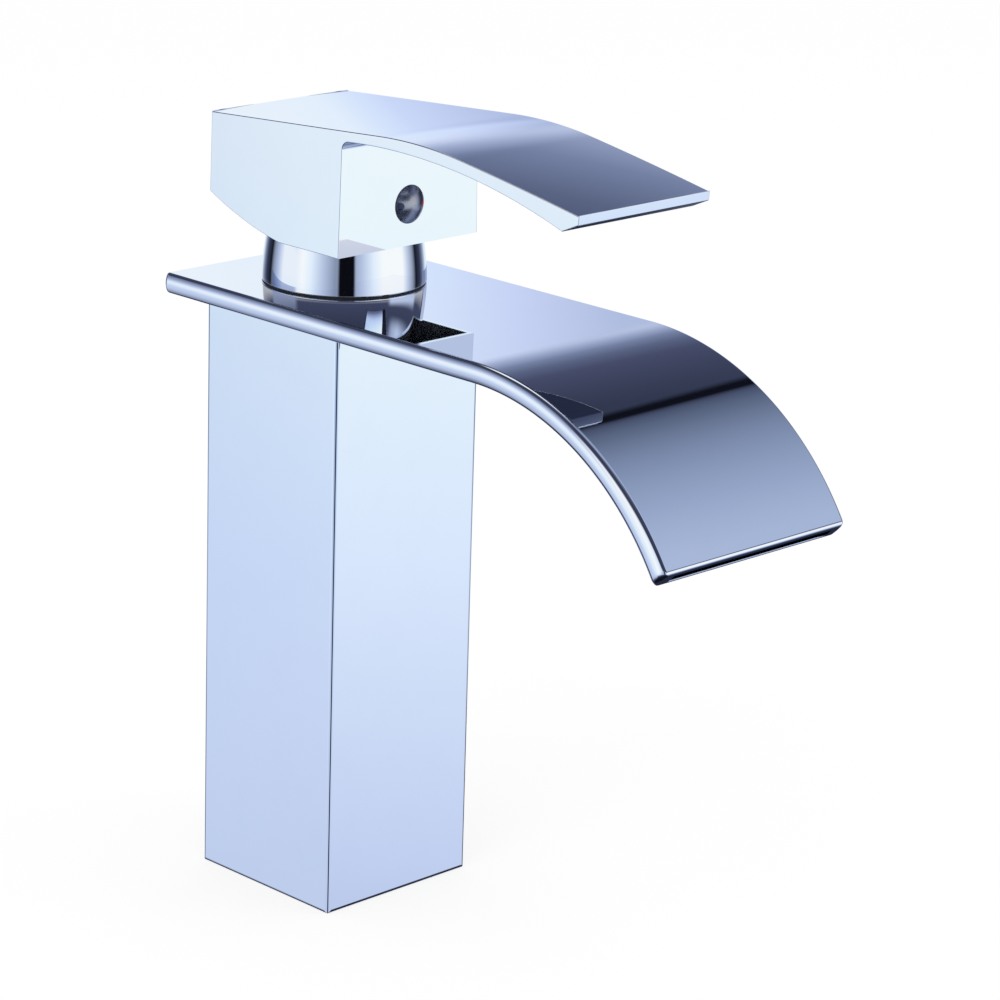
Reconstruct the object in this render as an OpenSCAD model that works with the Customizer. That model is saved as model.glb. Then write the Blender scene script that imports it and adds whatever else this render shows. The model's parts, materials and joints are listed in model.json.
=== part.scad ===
// Waterfall basin faucet: square column, hollow curved spout plate, round dome and lever handle.
// Millimetres. +Z is up, the spout points along -Y, the origin is the centre of the column's base.

/* [Column] */
// Width of the square column
column_w = 45; // [45:0.5:60]
// Height of the column, from the basin to the underside of the spout
column_h = 141.2; // [110:0.1:220]
// Radius of the column's upright edges
column_edge_r = 1.2; // [0.5:0.1:2]
// Radius of the column's bottom edges
column_foot_r = 1; // [0.5:0.1:2]
// How far the neck rises above the spout plate
neck_rise = 5; // [4.5:0.1:6]

/* [Spout] */
// Width of the spout plate
spout_w = 58; // [56:0.2:80]
// Thickness of the spout plate
spout_t = 4.8; // [4.6:0.1:7]
// How far the plate stands out behind the column
spout_back = 8; // [4:0.5:20]
// Flat run of the plate ahead of the column
spout_run = 49.2; // [30:0.1:90]
// Radius of the plate's top face where it curves down
spout_bend_r = 68.5; // [50:0.5:90]
// Angle through which the plate curves down
spout_bend_angle = 57; // [20:1:70]
// Straight end of the plate at the lip
spout_lip = 3.2; // [2.5:0.1:8]
// Radius of the plate's edges
spout_edge_r = 1.45; // [0.6:0.05:1.6]

/* [Waterway] */
// Side wall of the spout beside the flat channel inside it
spout_side_wall = 4; // [3.2:0.1:8]
// Height of the channel
channel_h = 2.4; // [1.6:0.1:2.6]
// Thickness of the plate that closes the channel
closing_t = 1.2; // [0.8:0.1:1.4]
// Width of the ledge that carries the closing plate
closing_ledge = 1.5; // [1:0.1:1.8]
// Wall around the neck inside the channel
collar_wall = 1.45; // [1.2:0.05:1.6]
// Width of the curved port from the column into the channel
port_w = 2.6; // [2:0.1:2.7]
// Half of the angle that the port spans
port_half_angle = 42; // [20:1:60]

/* [Base] */
// Radius of the tapped hole for the mounting stud, M8
stud_r = 3.4; // [3:0.1:4.2]
// Depth of the stud hole
stud_depth = 16; // [12:1:24]
// Distance of the stud hole in front of the centre
stud_front = 9.5; // [9:0.1:12]
// Radius of the tapped holes for the hoses, M10 by 1
hose_r = 4.5; // [4:0.1:5]
// Depth of the hose holes
hose_depth = 12; // [10:1:20]
// Distance of each hose hole from the middle plane
hose_side = 6.5; // [6.2:0.1:8]
// Thickness of the rubber ring under the base
base_ring_t = 2; // [1.5:0.1:3]
// Width of the rubber ring under the base
base_ring_w = 3; // [2:0.1:3.4]

/* [Cartridge] */
// Radius of the cartridge, of the 25 mm type
cartridge_r = 12.4; // [12.4:0.1:13]
// Depth of the cartridge's seat below the top of the neck
cartridge_depth = 27; // [26:0.1:32]
// Height of the tilting axis above the seat
pivot_h = 26; // [25.9:0.05:26.2]
// Radius of the pivot pin
pivot_r = 1.25; // [1:0.05:1.6]
// Width of the square stem
stem_w = 7; // [6.6:0.1:7.4]
// Height of the stem above the tilting axis
stem_h = 28.8; // [26:0.1:29]
// Distance of the ball's centre below the tilting axis
stem_arm = 9.5; // [9.3:0.05:9.7]
// Radius of the ball at the stem's lower end
ball_r = 2; // [1.8:0.05:2.1]
// Thickness of each ceramic disc
disc_t = 2.8; // [2.4:0.1:3]
// Travel of the moving disc, from closed to fully open
disc_travel = 4.1; // [3.8:0.1:4.2]

/* [Dome] */
// Wall of the dome where it screws onto the neck
dome_thread_wall = 3.15; // [2.5:0.05:3.6]
// Wall of the dome above the thread
dome_wall = 1.3; // [1:0.05:1.5]
// How much narrower the dome is at the handle than at its base
dome_draw_in = 1.3; // [0.6:0.05:2]
// Height of the dome above the spout plate
dome_h = 17; // [16.6:0.1:17]
// Radius of the hole in the dome's top
dome_hole_r = 11.2; // [10.8:0.1:11.6]
// Thickness of the dark ring under the dome
dome_ring_t = 0.5; // [0.3:0.05:0.8]

/* [Handle] */
// Gap between the spout plate and the handle block
handle_gap = 12; // [12:0.1:14]
// Height of the handle block at the back
handle_h = 26.5; // [25.5:0.1:32]
// Side wall of the handle block
handle_side_wall = 3.45; // [2.4:0.05:4]
// Front and back wall of the handle block
handle_end_wall = 2.4; // [2.2:0.1:4]
// How much narrower each side is at the top of the block
handle_draft = 0.7; // [0:0.1:1.2]
// Rise of the block's underside towards the back
handle_rear_rise = 7.8; // [4:0.1:8]
// Slope of the handle's top, in degrees
handle_slope = 3.6; // [2:0.1:7]
// Where the lever's top starts to curve, ahead of the axis
lever_curve_start = 33; // [30:0.5:40]
// Radius of the curve in the lever's top
lever_curve_r = 120; // [100:1:180]
// Slope of the straight run from that curve down to the tip, in degrees
lever_fall_angle = 9; // [6:0.5:12]
// Reach of the lever ahead of the axis
lever_reach = 94.2; // [80:0.1:110]
// Half width of the lever at its tip
lever_tip_half = 20.3; // [15:0.1:21]
// Thickness of the lever where it leaves the block
lever_root_t = 2.95; // [2.6:0.05:4]
// Radius of the lever's hollow underside
lever_under_r = 167; // [140:1:200]
// Distance of the underside's highest line ahead of the axis
lever_under_front = 36.5; // [34:0.5:40]
// Fillet between the lever and the block
lever_fillet = 2.2; // [1.5:0.1:4]

/* [Index button] */
// Radius of the button
button_r = 4.5; // [4:0.05:5]
// How far the button stands out
button_out = 1.75; // [1.2:0.05:2.4]
// Height of the button above the block's lower edge
button_up = 9.6; // [9.5:0.1:11.4]
// Radius of the coloured marks
mark_r = 0.9; // [0.5:0.05:0.95]

/* [Hidden] */
$fn = 96;

// Clearances and the overrun of every cut
fit_gap = 0.05;
film_gap = 0.02;
air_gap = 0.35;
overrun = 1;

// The straight lip laps into the bend, and is this much slimmer than it
lap = 0.5;
lap_inset = 0.01;

// Heights of the column, spout and neck
plate_top = column_h + spout_t;
neck_top = plate_top + neck_rise;
seat_z = neck_top - cartridge_depth;
pivot_z = seat_z + pivot_h;

// Cartridge bore and its nut
bore_gap = 0.1;
bore_r = cartridge_r + bore_gap;
nut_step = 1.4;
nut_r = bore_r + nut_step;
neck_wall = 2.1;
neck_r = nut_r + neck_wall;
neck_hole_gap = 0.15;
neck_hole_r = neck_r + neck_hole_gap;

// Spout
spout_flat = column_w / 2 + spout_run;
spout_rear = column_w / 2 + spout_back;
bend_z = plate_top - spout_bend_r;
roof_t = spout_t - channel_h - closing_t;
collar_r = neck_hole_r + collar_wall;
port_in_r = collar_r + air_gap;
port_out_r = port_in_r + port_w;
channel_w = spout_w - 2 * spout_side_wall;
closing_w = channel_w + 2 * closing_ledge;
channel_rear = port_out_r + air_gap;
closing_rear = channel_rear + closing_ledge;

// Flat seal between the column and the spout
seal_t = 1;
seal_rim = 0.9;
seal_w = column_w - 2 * seal_rim;

// Water passages in the column
inlet_x = 5.6;
inlet_y = 2.8;
outlet_y = -5.8;
passage_r = 2.4;
hose_y = 3;
link_drop = 6;
link_r = 3;
link_z = seat_z - link_drop;
link_end = (port_in_r + port_out_r) / 2;
port_floor_z = link_z;

// Rubber ring under the base
base_ring_rim = 2;
base_ring_out_r = column_w / 2 - base_ring_rim;
base_ring_in_r = base_ring_out_r - base_ring_w;

// Cartridge, from the seat upwards
sleeve_proud = 0.4;
base_z = seat_z + sleeve_proud;
base_flange_t = 2.6;
base_spigot_t = 1.8;
housing_z = base_z + base_flange_t;
fixed_z = housing_z + base_spigot_t;
moving_z = fixed_z + disc_t + film_gap;
carrier_z = moving_z + disc_t;
housing_wall = 1.5;
chamber_r = cartridge_r - housing_wall;
carrier_flange_t = 3.9;
carrier_hub_z = carrier_z + carrier_flange_t;
carrier_hub_w = 9;
carrier_hub_half = 4.3;
carrier_hub_top = 2.1;
carrier_top_z = pivot_z - stem_arm + carrier_hub_top;
socket_gap = 0.35;
socket_floor = 0.5;
turret_flange_z = carrier_hub_z + air_gap;
turret_flange_top = 7.2;
turret_shoulder_z = pivot_z - turret_flange_top;
turret_run_gap = 0.1;
slip_t = 0.3;
slip_z = turret_shoulder_z + turret_run_gap;
housing_ceiling_z = slip_z + slip_t;
shoulder_t = 1.6;
shoulder_z = housing_ceiling_z + shoulder_t;
turret_r = 9;
collar_bore_r = turret_r + turret_run_gap;
housing_collar_wall = 1.5;
housing_collar_r = collar_bore_r + housing_collar_wall;
nut_bore_r = housing_collar_r + bore_gap;
nut_head_t = 4;
nut_flats = 26;
nut_sides = 6;
nut_corner_r = nut_flats / 2 / cos(180 / nut_sides);
collar_proud = 0.5;
housing_top_z = neck_top + nut_head_t + collar_proud;
turret_proud = 1.1;
turret_top_z = housing_top_z + turret_proud;
sleeve_wall = 1.2;
sleeve_r = passage_r + sleeve_wall;
disc_port_r = 2.2;
moving_r = chamber_r - disc_travel / 2 - air_gap / 2;
pocket_w = 8;
pocket_l = 9;
pocket_t = 1.4;
pocket_back = 1.45;

// Stem and its room in the turret
lift_angle = 25;
stem_gap = 0.1;
stem_hub_r = 3.2;
arm_r = 1.4;
arm_top_z = pivot_z - (pivot_r + stem_hub_r) / 2;
slot_w = stem_w + 2 * stem_gap;
slot_front = stem_w / 2 + air_gap;
slot_back = (stem_w / 2 + (turret_top_z - pivot_z) * sin(lift_angle)) / cos(lift_angle) + air_gap;
slot_floor = 4.5;
arm_slot_w = 2 * arm_r + 2 * socket_gap;
arm_slot_front = (arm_r + stem_arm * sin(lift_angle)) / cos(lift_angle) + air_gap;
arm_slot_back = arm_r + air_gap;
guide_gap = 0.1;
pin_half = turret_r - air_gap;

// Dome
dome_foot_z = plate_top + dome_ring_t;
dome_top_z = plate_top + dome_h;
dome_base_r = neck_r + fit_gap + dome_thread_wall;
dome_mouth_r = dome_base_r - dome_draw_in;
dome_steps = 14;
dome_taper_power = 1.6;
dome_shoulder_shares = [[0.74, 1], [0.84, 0.974], [0.905, 0.938], [0.955, 0.885], [0.985, 0.83], [1, 0.79]];
dome_ring_inset = 0.2;

// Handle block
block_z = plate_top + handle_gap;
block_rear_top_z = block_z + handle_h;
cavity_half = dome_mouth_r + air_gap;
block_half = cavity_half + handle_side_wall;
front_room = 1.1;
rear_room = 2.5;
cavity_front = dome_mouth_r + front_room;
cavity_rear = dome_mouth_r + rear_room;
block_front = cavity_front + handle_end_wall;
block_rear = cavity_rear + handle_end_wall;
rise_start = -1.5;
rise_r = 95;
ceiling_t = 3.2;
top_at_start_z = block_rear_top_z + (block_rear + lever_curve_start) * tan(handle_slope);
crest_y = -lever_curve_start - lever_curve_r * sin(handle_slope);
crest_z = top_at_start_z + lever_curve_r * (1 - cos(handle_slope));
curve_z = crest_z - lever_curve_r;
fall_y = crest_y - lever_curve_r * sin(lever_fall_angle);
fall_z = curve_z + lever_curve_r * cos(lever_fall_angle);
tip_z = fall_z - (lever_reach + fall_y) * tan(lever_fall_angle);
under_y = -lever_under_front;
under_z = crest_z - lever_root_t - lever_under_r;
tip_face = 2.3;
tip_bevel_back = 4.8;
tip_bevel_up = 4.2;
long_arc_facets = 720;

// Socket for the stem inside the handle block
boss_half = 7;
boss_front = 8;
boss_back = 7;
boss_front_up = 13.9;
boss_back_up = 18.3;
boss_front_z = pivot_z + boss_front_up;
boss_back_z = pivot_z + boss_back_up;
stem_top_z = pivot_z + stem_h;
screw_r = 2.5;
screw_proud = 1.5;
screw_hex_r = 1.4;
screw_hex_depth = 2.5;
screw_hex_sides = 6;
access_r = 2.75;
button_z = block_z + button_up;
button_stalk = 2.4;
button_ball_r = (button_r * button_r + button_out * button_out) / (2 * button_out);
mark_rim = 0.05;
mark_side = button_r - mark_r - mark_rim;
mark_floor = 0.35;

// Rectangle with round corners, centred on the origin
module soft_rect(size, r) {
  square([size.x - 2 * r, size.y], center = true);
  square([size.x, size.y - 2 * r], center = true);
  for (side = [-1, 1], up = [-1, 1]) {
    translate([side * (size.x / 2 - r), up * (size.y / 2 - r)]) circle(r);
  }
}

// Ring or washer standing on height z
module ring(out_r, in_r, z, h) {
  translate([0, 0, z]) difference() {
    cylinder(h = h, r = out_r);
    translate([0, 0, -overrun]) cylinder(h = h + 2 * overrun, r = in_r);
  }
}

// Solid disc standing on height z
module rod(r, z, h, x = 0, y = 0) {
  translate([x, y, z]) cylinder(h = h, r = r);
}

// Turns a flat outline of (y, z) into a solid of the given width, centred across x
module across(width) {
  rotate([90, 0, 90]) linear_extrude(width, center = true) children();
}

// Curved slot through the column's top, the seal and the closing plate
module port(z, h, grow = 0) {
  rotate([0, 0, -90 - port_half_angle])
    rotate_extrude(angle = 2 * port_half_angle)
      translate([port_in_r - grow, z]) square([port_out_r - port_in_r + 2 * grow, h]);
}

// Column

module column_block() {
  intersection() {
    linear_extrude(column_h) soft_rect([column_w, column_w], column_edge_r);
    across(column_w + 2 * overrun)
      translate([0, column_h]) soft_rect([column_w, 2 * column_h], column_foot_r);
    rotate([0, 0, 90]) across(column_w + 2 * overrun)
      translate([0, column_h]) soft_rect([column_w, 2 * column_h], column_foot_r);
  }
}

module column_body() {
  color("gainsboro") difference() {
    union() {
      column_block();
      rod(neck_r, column_h / 2, neck_top - column_h / 2);
    }
    // cartridge bore and the thread above it
    rod(bore_r, seat_z, cartridge_depth + overrun);
    rod(nut_r, shoulder_z - bore_gap, neck_top - shoulder_z + bore_gap + overrun);
    // hot and cold inlets
    for (side = [-1, 1]) {
      rod(hose_r, -overrun, hose_depth + overrun, side * hose_side, hose_y);
      rod(passage_r, hose_depth - overrun, seat_z - hose_depth + 2 * overrun, side * inlet_x, inlet_y);
    }
    // mixed water: down from the seat, forward and up to the port
    rod(passage_r, link_z, seat_z - link_z + overrun, 0, outlet_y);
    translate([0, outlet_y, link_z]) rotate([90, 0, 0]) cylinder(h = link_end + outlet_y, r = link_r);
    port(port_floor_z, column_h - port_floor_z + overrun);
    // pocket for the flat seal
    translate([0, 0, column_h - seal_t]) difference() {
      linear_extrude(seal_t + overrun) square([seal_w, seal_w], center = true);
      rod(neck_r, -overrun, neck_top - column_h);
    }
    // stud hole and the groove for the rubber ring
    rod(stud_r, -overrun, stud_depth + overrun, 0, -stud_front);
    ring(base_ring_out_r, base_ring_in_r, -overrun, base_ring_t + overrun);
  }
}

module base_gasket() {
  color("dimgray") ring(base_ring_out_r - fit_gap, base_ring_in_r + fit_gap, 0, base_ring_t);
}

module spout_gasket() {
  color("dimgray") difference() {
    translate([0, 0, column_h - seal_t]) linear_extrude(seal_t)
      square([seal_w - 2 * fit_gap, seal_w - 2 * fit_gap], center = true);
    rod(neck_r + fit_gap, column_h - seal_t - overrun, seal_t + 2 * overrun);
    port(column_h - seal_t - overrun, seal_t + 2 * overrun);
  }
}

// Spout

// Moves a solid of revolution about Z onto the axis of the spout's bend
module about_bend() {
  translate([0, -spout_flat, bend_z]) rotate([0, -90, 180]) children();
}

// Moves a solid that starts at the end of the bend and runs along +Y onto the straight lip
module at_lip() {
  translate([0, -spout_flat, bend_z]) rotate([spout_bend_angle, 0, 0])
    translate([0, 0, spout_bend_r]) rotate([0, 0, 180]) children();
}

// Straight stretch of the plate from y = 0 to a rounded end, with its top face at z = 0
module soft_bar(length, inset = 0) {
  intersection() {
    translate([0, length, -spout_t / 2]) rotate([90, 0, 0])
      linear_extrude(length) soft_rect([spout_w - 2 * inset, spout_t - 2 * inset], spout_edge_r);
    translate([0, 0, -spout_t / 2]) across(spout_w + 2 * overrun)
      soft_rect([2 * length, spout_t - 2 * inset], spout_edge_r);
  }
}

// Whole outside of the spout plate
module spout_shape() {
  translate([0, -spout_flat, plate_top]) soft_bar(spout_flat + spout_rear);
  about_bend() rotate_extrude(angle = spout_bend_angle)
    translate([spout_bend_r - spout_t / 2, 0]) soft_rect([spout_t, spout_w], spout_edge_r);
  at_lip() translate([0, -lap, 0]) soft_bar(spout_lip + lap, lap_inset);
}

// Layer inside the plate that follows its curve, between two depths below the top face
module spout_layer(width, top, bottom, rear) {
  translate([-width / 2, -spout_flat, plate_top - bottom]) cube([width, spout_flat + rear, bottom - top]);
  about_bend() rotate_extrude(angle = spout_bend_angle)
    translate([spout_bend_r - bottom, -width / 2]) square([bottom - top, width]);
  at_lip() translate([-width / 2 + lap_inset, -lap, -bottom + lap_inset])
    cube([width - 2 * lap_inset, spout_lip + lap + overrun, bottom - top - 2 * lap_inset]);
}

module spout_top_plate() {
  color("whitesmoke") difference() {
    spout_shape();
    difference() {
      spout_layer(channel_w, roof_t, roof_t + channel_h, channel_rear);
      rod(collar_r, column_h, spout_t);
    }
    spout_layer(closing_w, spout_t - closing_t, spout_t + overrun, closing_rear);
    rod(neck_hole_r, column_h - overrun, spout_t + 2 * overrun);
  }
}

module spout_bottom_plate() {
  color("silver") difference() {
    intersection() {
      spout_shape();
      spout_layer(closing_w - 2 * fit_gap, spout_t - closing_t, spout_t + overrun, closing_rear - fit_gap);
    }
    rod(neck_hole_r, column_h - overrun, closing_t + 2 * overrun);
    port(column_h - overrun, closing_t + 2 * overrun);
  }
}

// Dome

// Radius of the dome's outside at a share of its height, up to its shoulder
function dome_r(share) =
  dome_base_r - dome_draw_in * pow(share / dome_shoulder_shares[0].x, dome_taper_power);

dome_side = [for (i = [0 : dome_steps]) let (share = dome_shoulder_shares[0].x * i / dome_steps)
  [dome_r(share), dome_foot_z + (dome_top_z - dome_foot_z) * share]];
dome_cap = [for (i = [1 : len(dome_shoulder_shares) - 1]) let (share = dome_shoulder_shares[i])
  [dome_mouth_r * share.y, dome_foot_z + (dome_top_z - dome_foot_z) * share.x]];
dome_side_in = [for (p = dome_side) [p.x - dome_wall, p.y]];
dome_cap_in = [for (p = dome_cap) [p.x - dome_wall / 2, p.y - dome_wall]];

module dome_cover() {
  color("lightgray") difference() {
    rotate_extrude() polygon(concat([[0, dome_foot_z]], dome_side, dome_cap, [[0, dome_top_z]]));
    difference() {
      rotate_extrude()
        polygon(concat([[0, dome_foot_z - overrun], [dome_side_in[0].x, dome_foot_z - overrun]],
          dome_side_in, dome_cap_in, [[0, dome_top_z - dome_wall]]));
      ring(dome_base_r, neck_r + fit_gap, dome_foot_z - overrun, neck_top - dome_foot_z + overrun);
    }
    rod(dome_hole_r, dome_top_z - dome_wall - overrun, dome_wall + 2 * overrun);
  }
}

module dome_seal_ring() {
  color("black") ring(dome_base_r - dome_ring_inset, neck_r + fit_gap, plate_top, dome_ring_t);
}

// Cartridge

module cartridge_nut() {
  color("goldenrod") difference() {
    union() {
      rod(nut_r - fit_gap, shoulder_z, neck_top - shoulder_z + nut_head_t / 2);
      translate([0, 0, neck_top]) cylinder(h = nut_head_t, r = nut_corner_r, $fn = nut_sides);
    }
    rod(nut_bore_r, shoulder_z - overrun, neck_top - shoulder_z + nut_head_t + 2 * overrun);
  }
}

module cartridge_housing() {
  color("white") difference() {
    union() {
      rod(cartridge_r, housing_z, shoulder_z - housing_z);
      rod(housing_collar_r, housing_z, housing_top_z - housing_z);
    }
    rod(chamber_r, housing_z - overrun, housing_ceiling_z - housing_z + overrun);
    rod(collar_bore_r, housing_z, housing_top_z - housing_z + overrun);
  }
}

// Places its child at the three ports of the cartridge
module at_ports() {
  for (side = [-1, 1]) translate([side * inlet_x, inlet_y, 0]) children();
  translate([0, outlet_y, 0]) children();
}

module cartridge_base() {
  color("lightslategray") difference() {
    union() {
      rod(cartridge_r, base_z, base_flange_t);
      rod(chamber_r - fit_gap, base_z, base_flange_t + base_spigot_t);
    }
    at_ports() rod(sleeve_r + fit_gap, base_z - overrun, base_flange_t + base_spigot_t + 2 * overrun);
  }
}

module port_seals() {
  color("black") at_ports() ring(sleeve_r, passage_r, seat_z, fixed_z - seat_z);
}

module fixed_disc() {
  color("ivory") difference() {
    rod(chamber_r - fit_gap, fixed_z, disc_t);
    at_ports() rod(disc_port_r, fixed_z - overrun, disc_t + 2 * overrun);
  }
}

module slip_ring() {
  color("white") ring(chamber_r - fit_gap, collar_bore_r, slip_z, slip_t);
}

// The moving disc and its carrier start at one end of their travel
module at_closed() {
  translate([0, disc_travel / 2, 0]) children();
}

module moving_disc() {
  color("ivory") at_closed() difference() {
    rod(moving_r, moving_z, disc_t);
    translate([-pocket_w / 2, pocket_back - pocket_l / 2 - disc_travel / 2, moving_z - overrun])
      cube([pocket_w, pocket_l, pocket_t + overrun]);
  }
}

module disc_carrier() {
  color("cornflowerblue") difference() {
    union() {
      at_closed() rod(moving_r, carrier_z, carrier_flange_t);
      translate([-carrier_hub_w / 2, -carrier_hub_half, carrier_z + carrier_flange_t / 2])
        cube([carrier_hub_w, 2 * carrier_hub_half, carrier_top_z - carrier_z - carrier_flange_t / 2]);
    }
    rod(ball_r + socket_gap, pivot_z - stem_arm - ball_r - socket_floor,
      ball_r + socket_floor + carrier_hub_top + overrun);
  }
}

module turret() {
  color("tomato") difference() {
    union() {
      rod(chamber_r - turret_run_gap, turret_flange_z, turret_shoulder_z - turret_flange_z);
      rod(turret_r, turret_flange_z, turret_top_z - turret_flange_z);
    }
    // room for the stem, for its arm and for the carrier's hub
    translate([-slot_w / 2, -slot_front, pivot_z - slot_floor])
      cube([slot_w, slot_front + slot_back, turret_top_z - pivot_z + slot_floor + overrun]);
    translate([-arm_slot_w / 2, -arm_slot_front, turret_flange_z - overrun])
      cube([arm_slot_w, arm_slot_front + arm_slot_back, pivot_z - stem_hub_r - turret_flange_z + overrun]);
    translate([-carrier_hub_w / 2 - guide_gap, -carrier_hub_half - disc_travel - air_gap,
      turret_flange_z - overrun])
      cube([carrier_hub_w + 2 * guide_gap, 2 * carrier_hub_half + disc_travel + 2 * air_gap,
        carrier_top_z + air_gap - turret_flange_z + overrun]);
    translate([0, 0, pivot_z]) rotate([0, 90, 0])
      cylinder(h = 2 * pin_half, r = pivot_r + film_gap / 2, center = true);
  }
}

module pivot_pin() {
  color("gray") translate([0, 0, pivot_z]) rotate([0, 90, 0])
    cylinder(h = 2 * pin_half, r = pivot_r, center = true);
}

module cartridge_stem() {
  color("goldenrod") difference() {
    union() {
      translate([-stem_w / 2, -stem_w / 2, pivot_z]) cube([stem_w, stem_w, stem_h]);
      translate([0, 0, pivot_z]) rotate([0, 90, 0]) cylinder(h = stem_w, r = stem_hub_r, center = true);
      rod(arm_r, pivot_z - stem_arm, arm_top_z - pivot_z + stem_arm);
      translate([0, 0, pivot_z - stem_arm]) sphere(ball_r);
    }
    translate([0, 0, pivot_z]) rotate([0, 90, 0])
      cylinder(h = stem_w + 2 * overrun, r = pivot_r + fit_gap, center = true);
  }
}

// Handle

// Height of the handle's sloping top at a distance y from the axis
function slope_z(y) = block_rear_top_z + (block_rear - y) * tan(handle_slope);

// Centre of the circle that bows the block's underside from its flat part up to the back
rise_chord = norm([block_rear - rise_start, handle_rear_rise]);
rise_turn = atan2(handle_rear_rise, block_rear - rise_start);
rise_depth = sqrt(rise_r * rise_r - rise_chord * rise_chord / 4);
rise_y = (block_rear + rise_start) / 2 - rise_depth * sin(rise_turn);
rise_z = block_z + handle_rear_rise / 2 + rise_depth * cos(rise_turn);

// Centre of the fillet between the block's front face and the lever's underside
fillet_y = -block_front - lever_fillet;
fillet_z = under_z + sqrt(pow(lever_under_r - lever_fillet, 2) - pow(fillet_y - under_y, 2));
// Where the fillet meets the underside
fillet_start_y = under_y + (fillet_y - under_y) * lever_under_r / (lever_under_r - lever_fillet);

module long_circle(y, z, r) {
  translate([y, z]) circle(r, $fn = long_arc_facets);
}

// Side view of the block and lever, as (y, z)
module handle_outline() {
  difference() {
    union() {
      polygon([[block_rear, block_z], [block_rear, block_rear_top_z], [-lever_curve_start, top_at_start_z],
        [fall_y, fall_z], [-lever_reach, tip_z], [-lever_reach, block_z]]);
      intersection() {
        long_circle(crest_y, curve_z, lever_curve_r);
        translate([fall_y, block_z]) square([-lever_curve_start - fall_y, lever_curve_r]);
      }
    }
    // space under the lever
    difference() {
      intersection() {
        long_circle(under_y, under_z, lever_under_r);
        translate([-lever_reach - overrun, block_z - overrun])
          square([lever_reach - block_front + overrun, lever_under_r]);
      }
      difference() {
        translate([fillet_start_y, fillet_z])
          square([-block_front - fillet_start_y + overrun, lever_fillet + overrun]);
        translate([fillet_y, fillet_z]) circle(lever_fillet);
      }
    }
    // bevel under the tip
    polygon([[-lever_reach - overrun, tip_z - tip_face], [-lever_reach, tip_z - tip_face],
      [-lever_reach + tip_bevel_back, tip_z - tip_bevel_up], [-lever_reach + tip_bevel_back, block_z],
      [-lever_reach - overrun, block_z]]);
    // bowed underside at the back
    difference() {
      translate([rise_start, block_z - overrun])
        square([block_rear - rise_start + overrun, handle_rear_rise + overrun]);
      long_circle(rise_y, rise_z, rise_r);
    }
  }
}

// Outside of the handle: side view, plan and front view in one
module handle_shape() {
  top_z = crest_z + overrun;
  intersection() {
    across(2 * block_half + 2 * overrun) handle_outline();
    translate([0, 0, block_z - overrun]) linear_extrude(top_z - block_z + overrun) polygon([
      [block_half, block_rear + overrun], [-block_half, block_rear + overrun], [-block_half, -block_front],
      [-lever_tip_half, -lever_reach], [-lever_tip_half, -lever_reach - overrun],
      [lever_tip_half, -lever_reach - overrun], [lever_tip_half, -lever_reach], [block_half, -block_front]]);
    translate([0, block_rear + overrun, 0]) rotate([90, 0, 0])
      linear_extrude(block_rear + lever_reach + 2 * overrun) polygon([
        [block_half, block_z - overrun], [block_half, block_z], [block_half - handle_draft, top_z],
        [-block_half + handle_draft, top_z], [-block_half, block_z], [-block_half, block_z - overrun]]);
  }
}

module handle_cavity() {
  across(2 * cavity_half) polygon([
    [cavity_rear, block_z - overrun], [cavity_rear, slope_z(cavity_rear) - ceiling_t],
    [-cavity_front, slope_z(-cavity_front) - ceiling_t], [-cavity_front, block_z - overrun]]);
}

module handle_boss() {
  across(2 * boss_half) polygon([
    [-boss_front, boss_front_z], [boss_back, boss_back_z],
    [boss_back, slope_z(boss_back) - ceiling_t / 2], [-boss_front, slope_z(-boss_front) - ceiling_t / 2]]);
}

module lever_handle() {
  color("whitesmoke") difference() {
    union() {
      difference() {
        handle_shape();
        handle_cavity();
      }
      handle_boss();
    }
    // square hole for the stem
    translate([-stem_w / 2 - fit_gap, -stem_w / 2 - fit_gap, boss_front_z - overrun])
      cube([stem_w + 2 * fit_gap, stem_w + 2 * fit_gap, stem_top_z + air_gap - boss_front_z + overrun]);
    // tapped hole for the set screw, and the way in to it through the front
    translate([0, 0, button_z]) rotate([90, 0, 0]) cylinder(h = boss_front + overrun, r = screw_r);
    translate([0, -cavity_front + overrun, button_z]) rotate([90, 0, 0])
      cylinder(h = handle_end_wall + 2 * overrun, r = access_r);
  }
}

module set_screw() {
  screw_end = stem_w / 2;
  screw_l = boss_front + screw_proud - screw_end;
  color("dimgray") translate([0, -screw_end, button_z]) rotate([90, 0, 0]) difference() {
    cylinder(h = screw_l, r = screw_r - fit_gap);
    translate([0, 0, screw_l - screw_hex_depth])
      cylinder(h = screw_hex_depth + overrun, r = screw_hex_r, $fn = screw_hex_sides);
  }
}

// Button

// Cap of a ball, standing on z = 0
module button_cap() {
  intersection() {
    translate([0, 0, button_out - button_ball_r]) sphere(button_ball_r);
    cylinder(h = button_out + overrun, r = button_r + overrun);
  }
}

// Moves a solid that stands on z = 0 onto the block's front face
module on_front() {
  translate([0, -block_front, button_z]) rotate([90, 0, 0]) children();
}

module mark_pin(side) {
  translate([side * mark_side, 0, mark_floor]) cylinder(h = button_out, r = mark_r);
}

module index_button() {
  color("silver") on_front() difference() {
    union() {
      button_cap();
      translate([0, 0, -button_stalk]) cylinder(h = button_stalk + button_out / 2, r = access_r - fit_gap);
    }
    mark_pin(-1);
    mark_pin(1);
  }
}

module index_mark_hot() {
  color("firebrick") on_front() intersection() {
    button_cap();
    mark_pin(1);
  }
}

module index_mark_cold() {
  color("royalblue") on_front() intersection() {
    button_cap();
    mark_pin(-1);
  }
}

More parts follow.
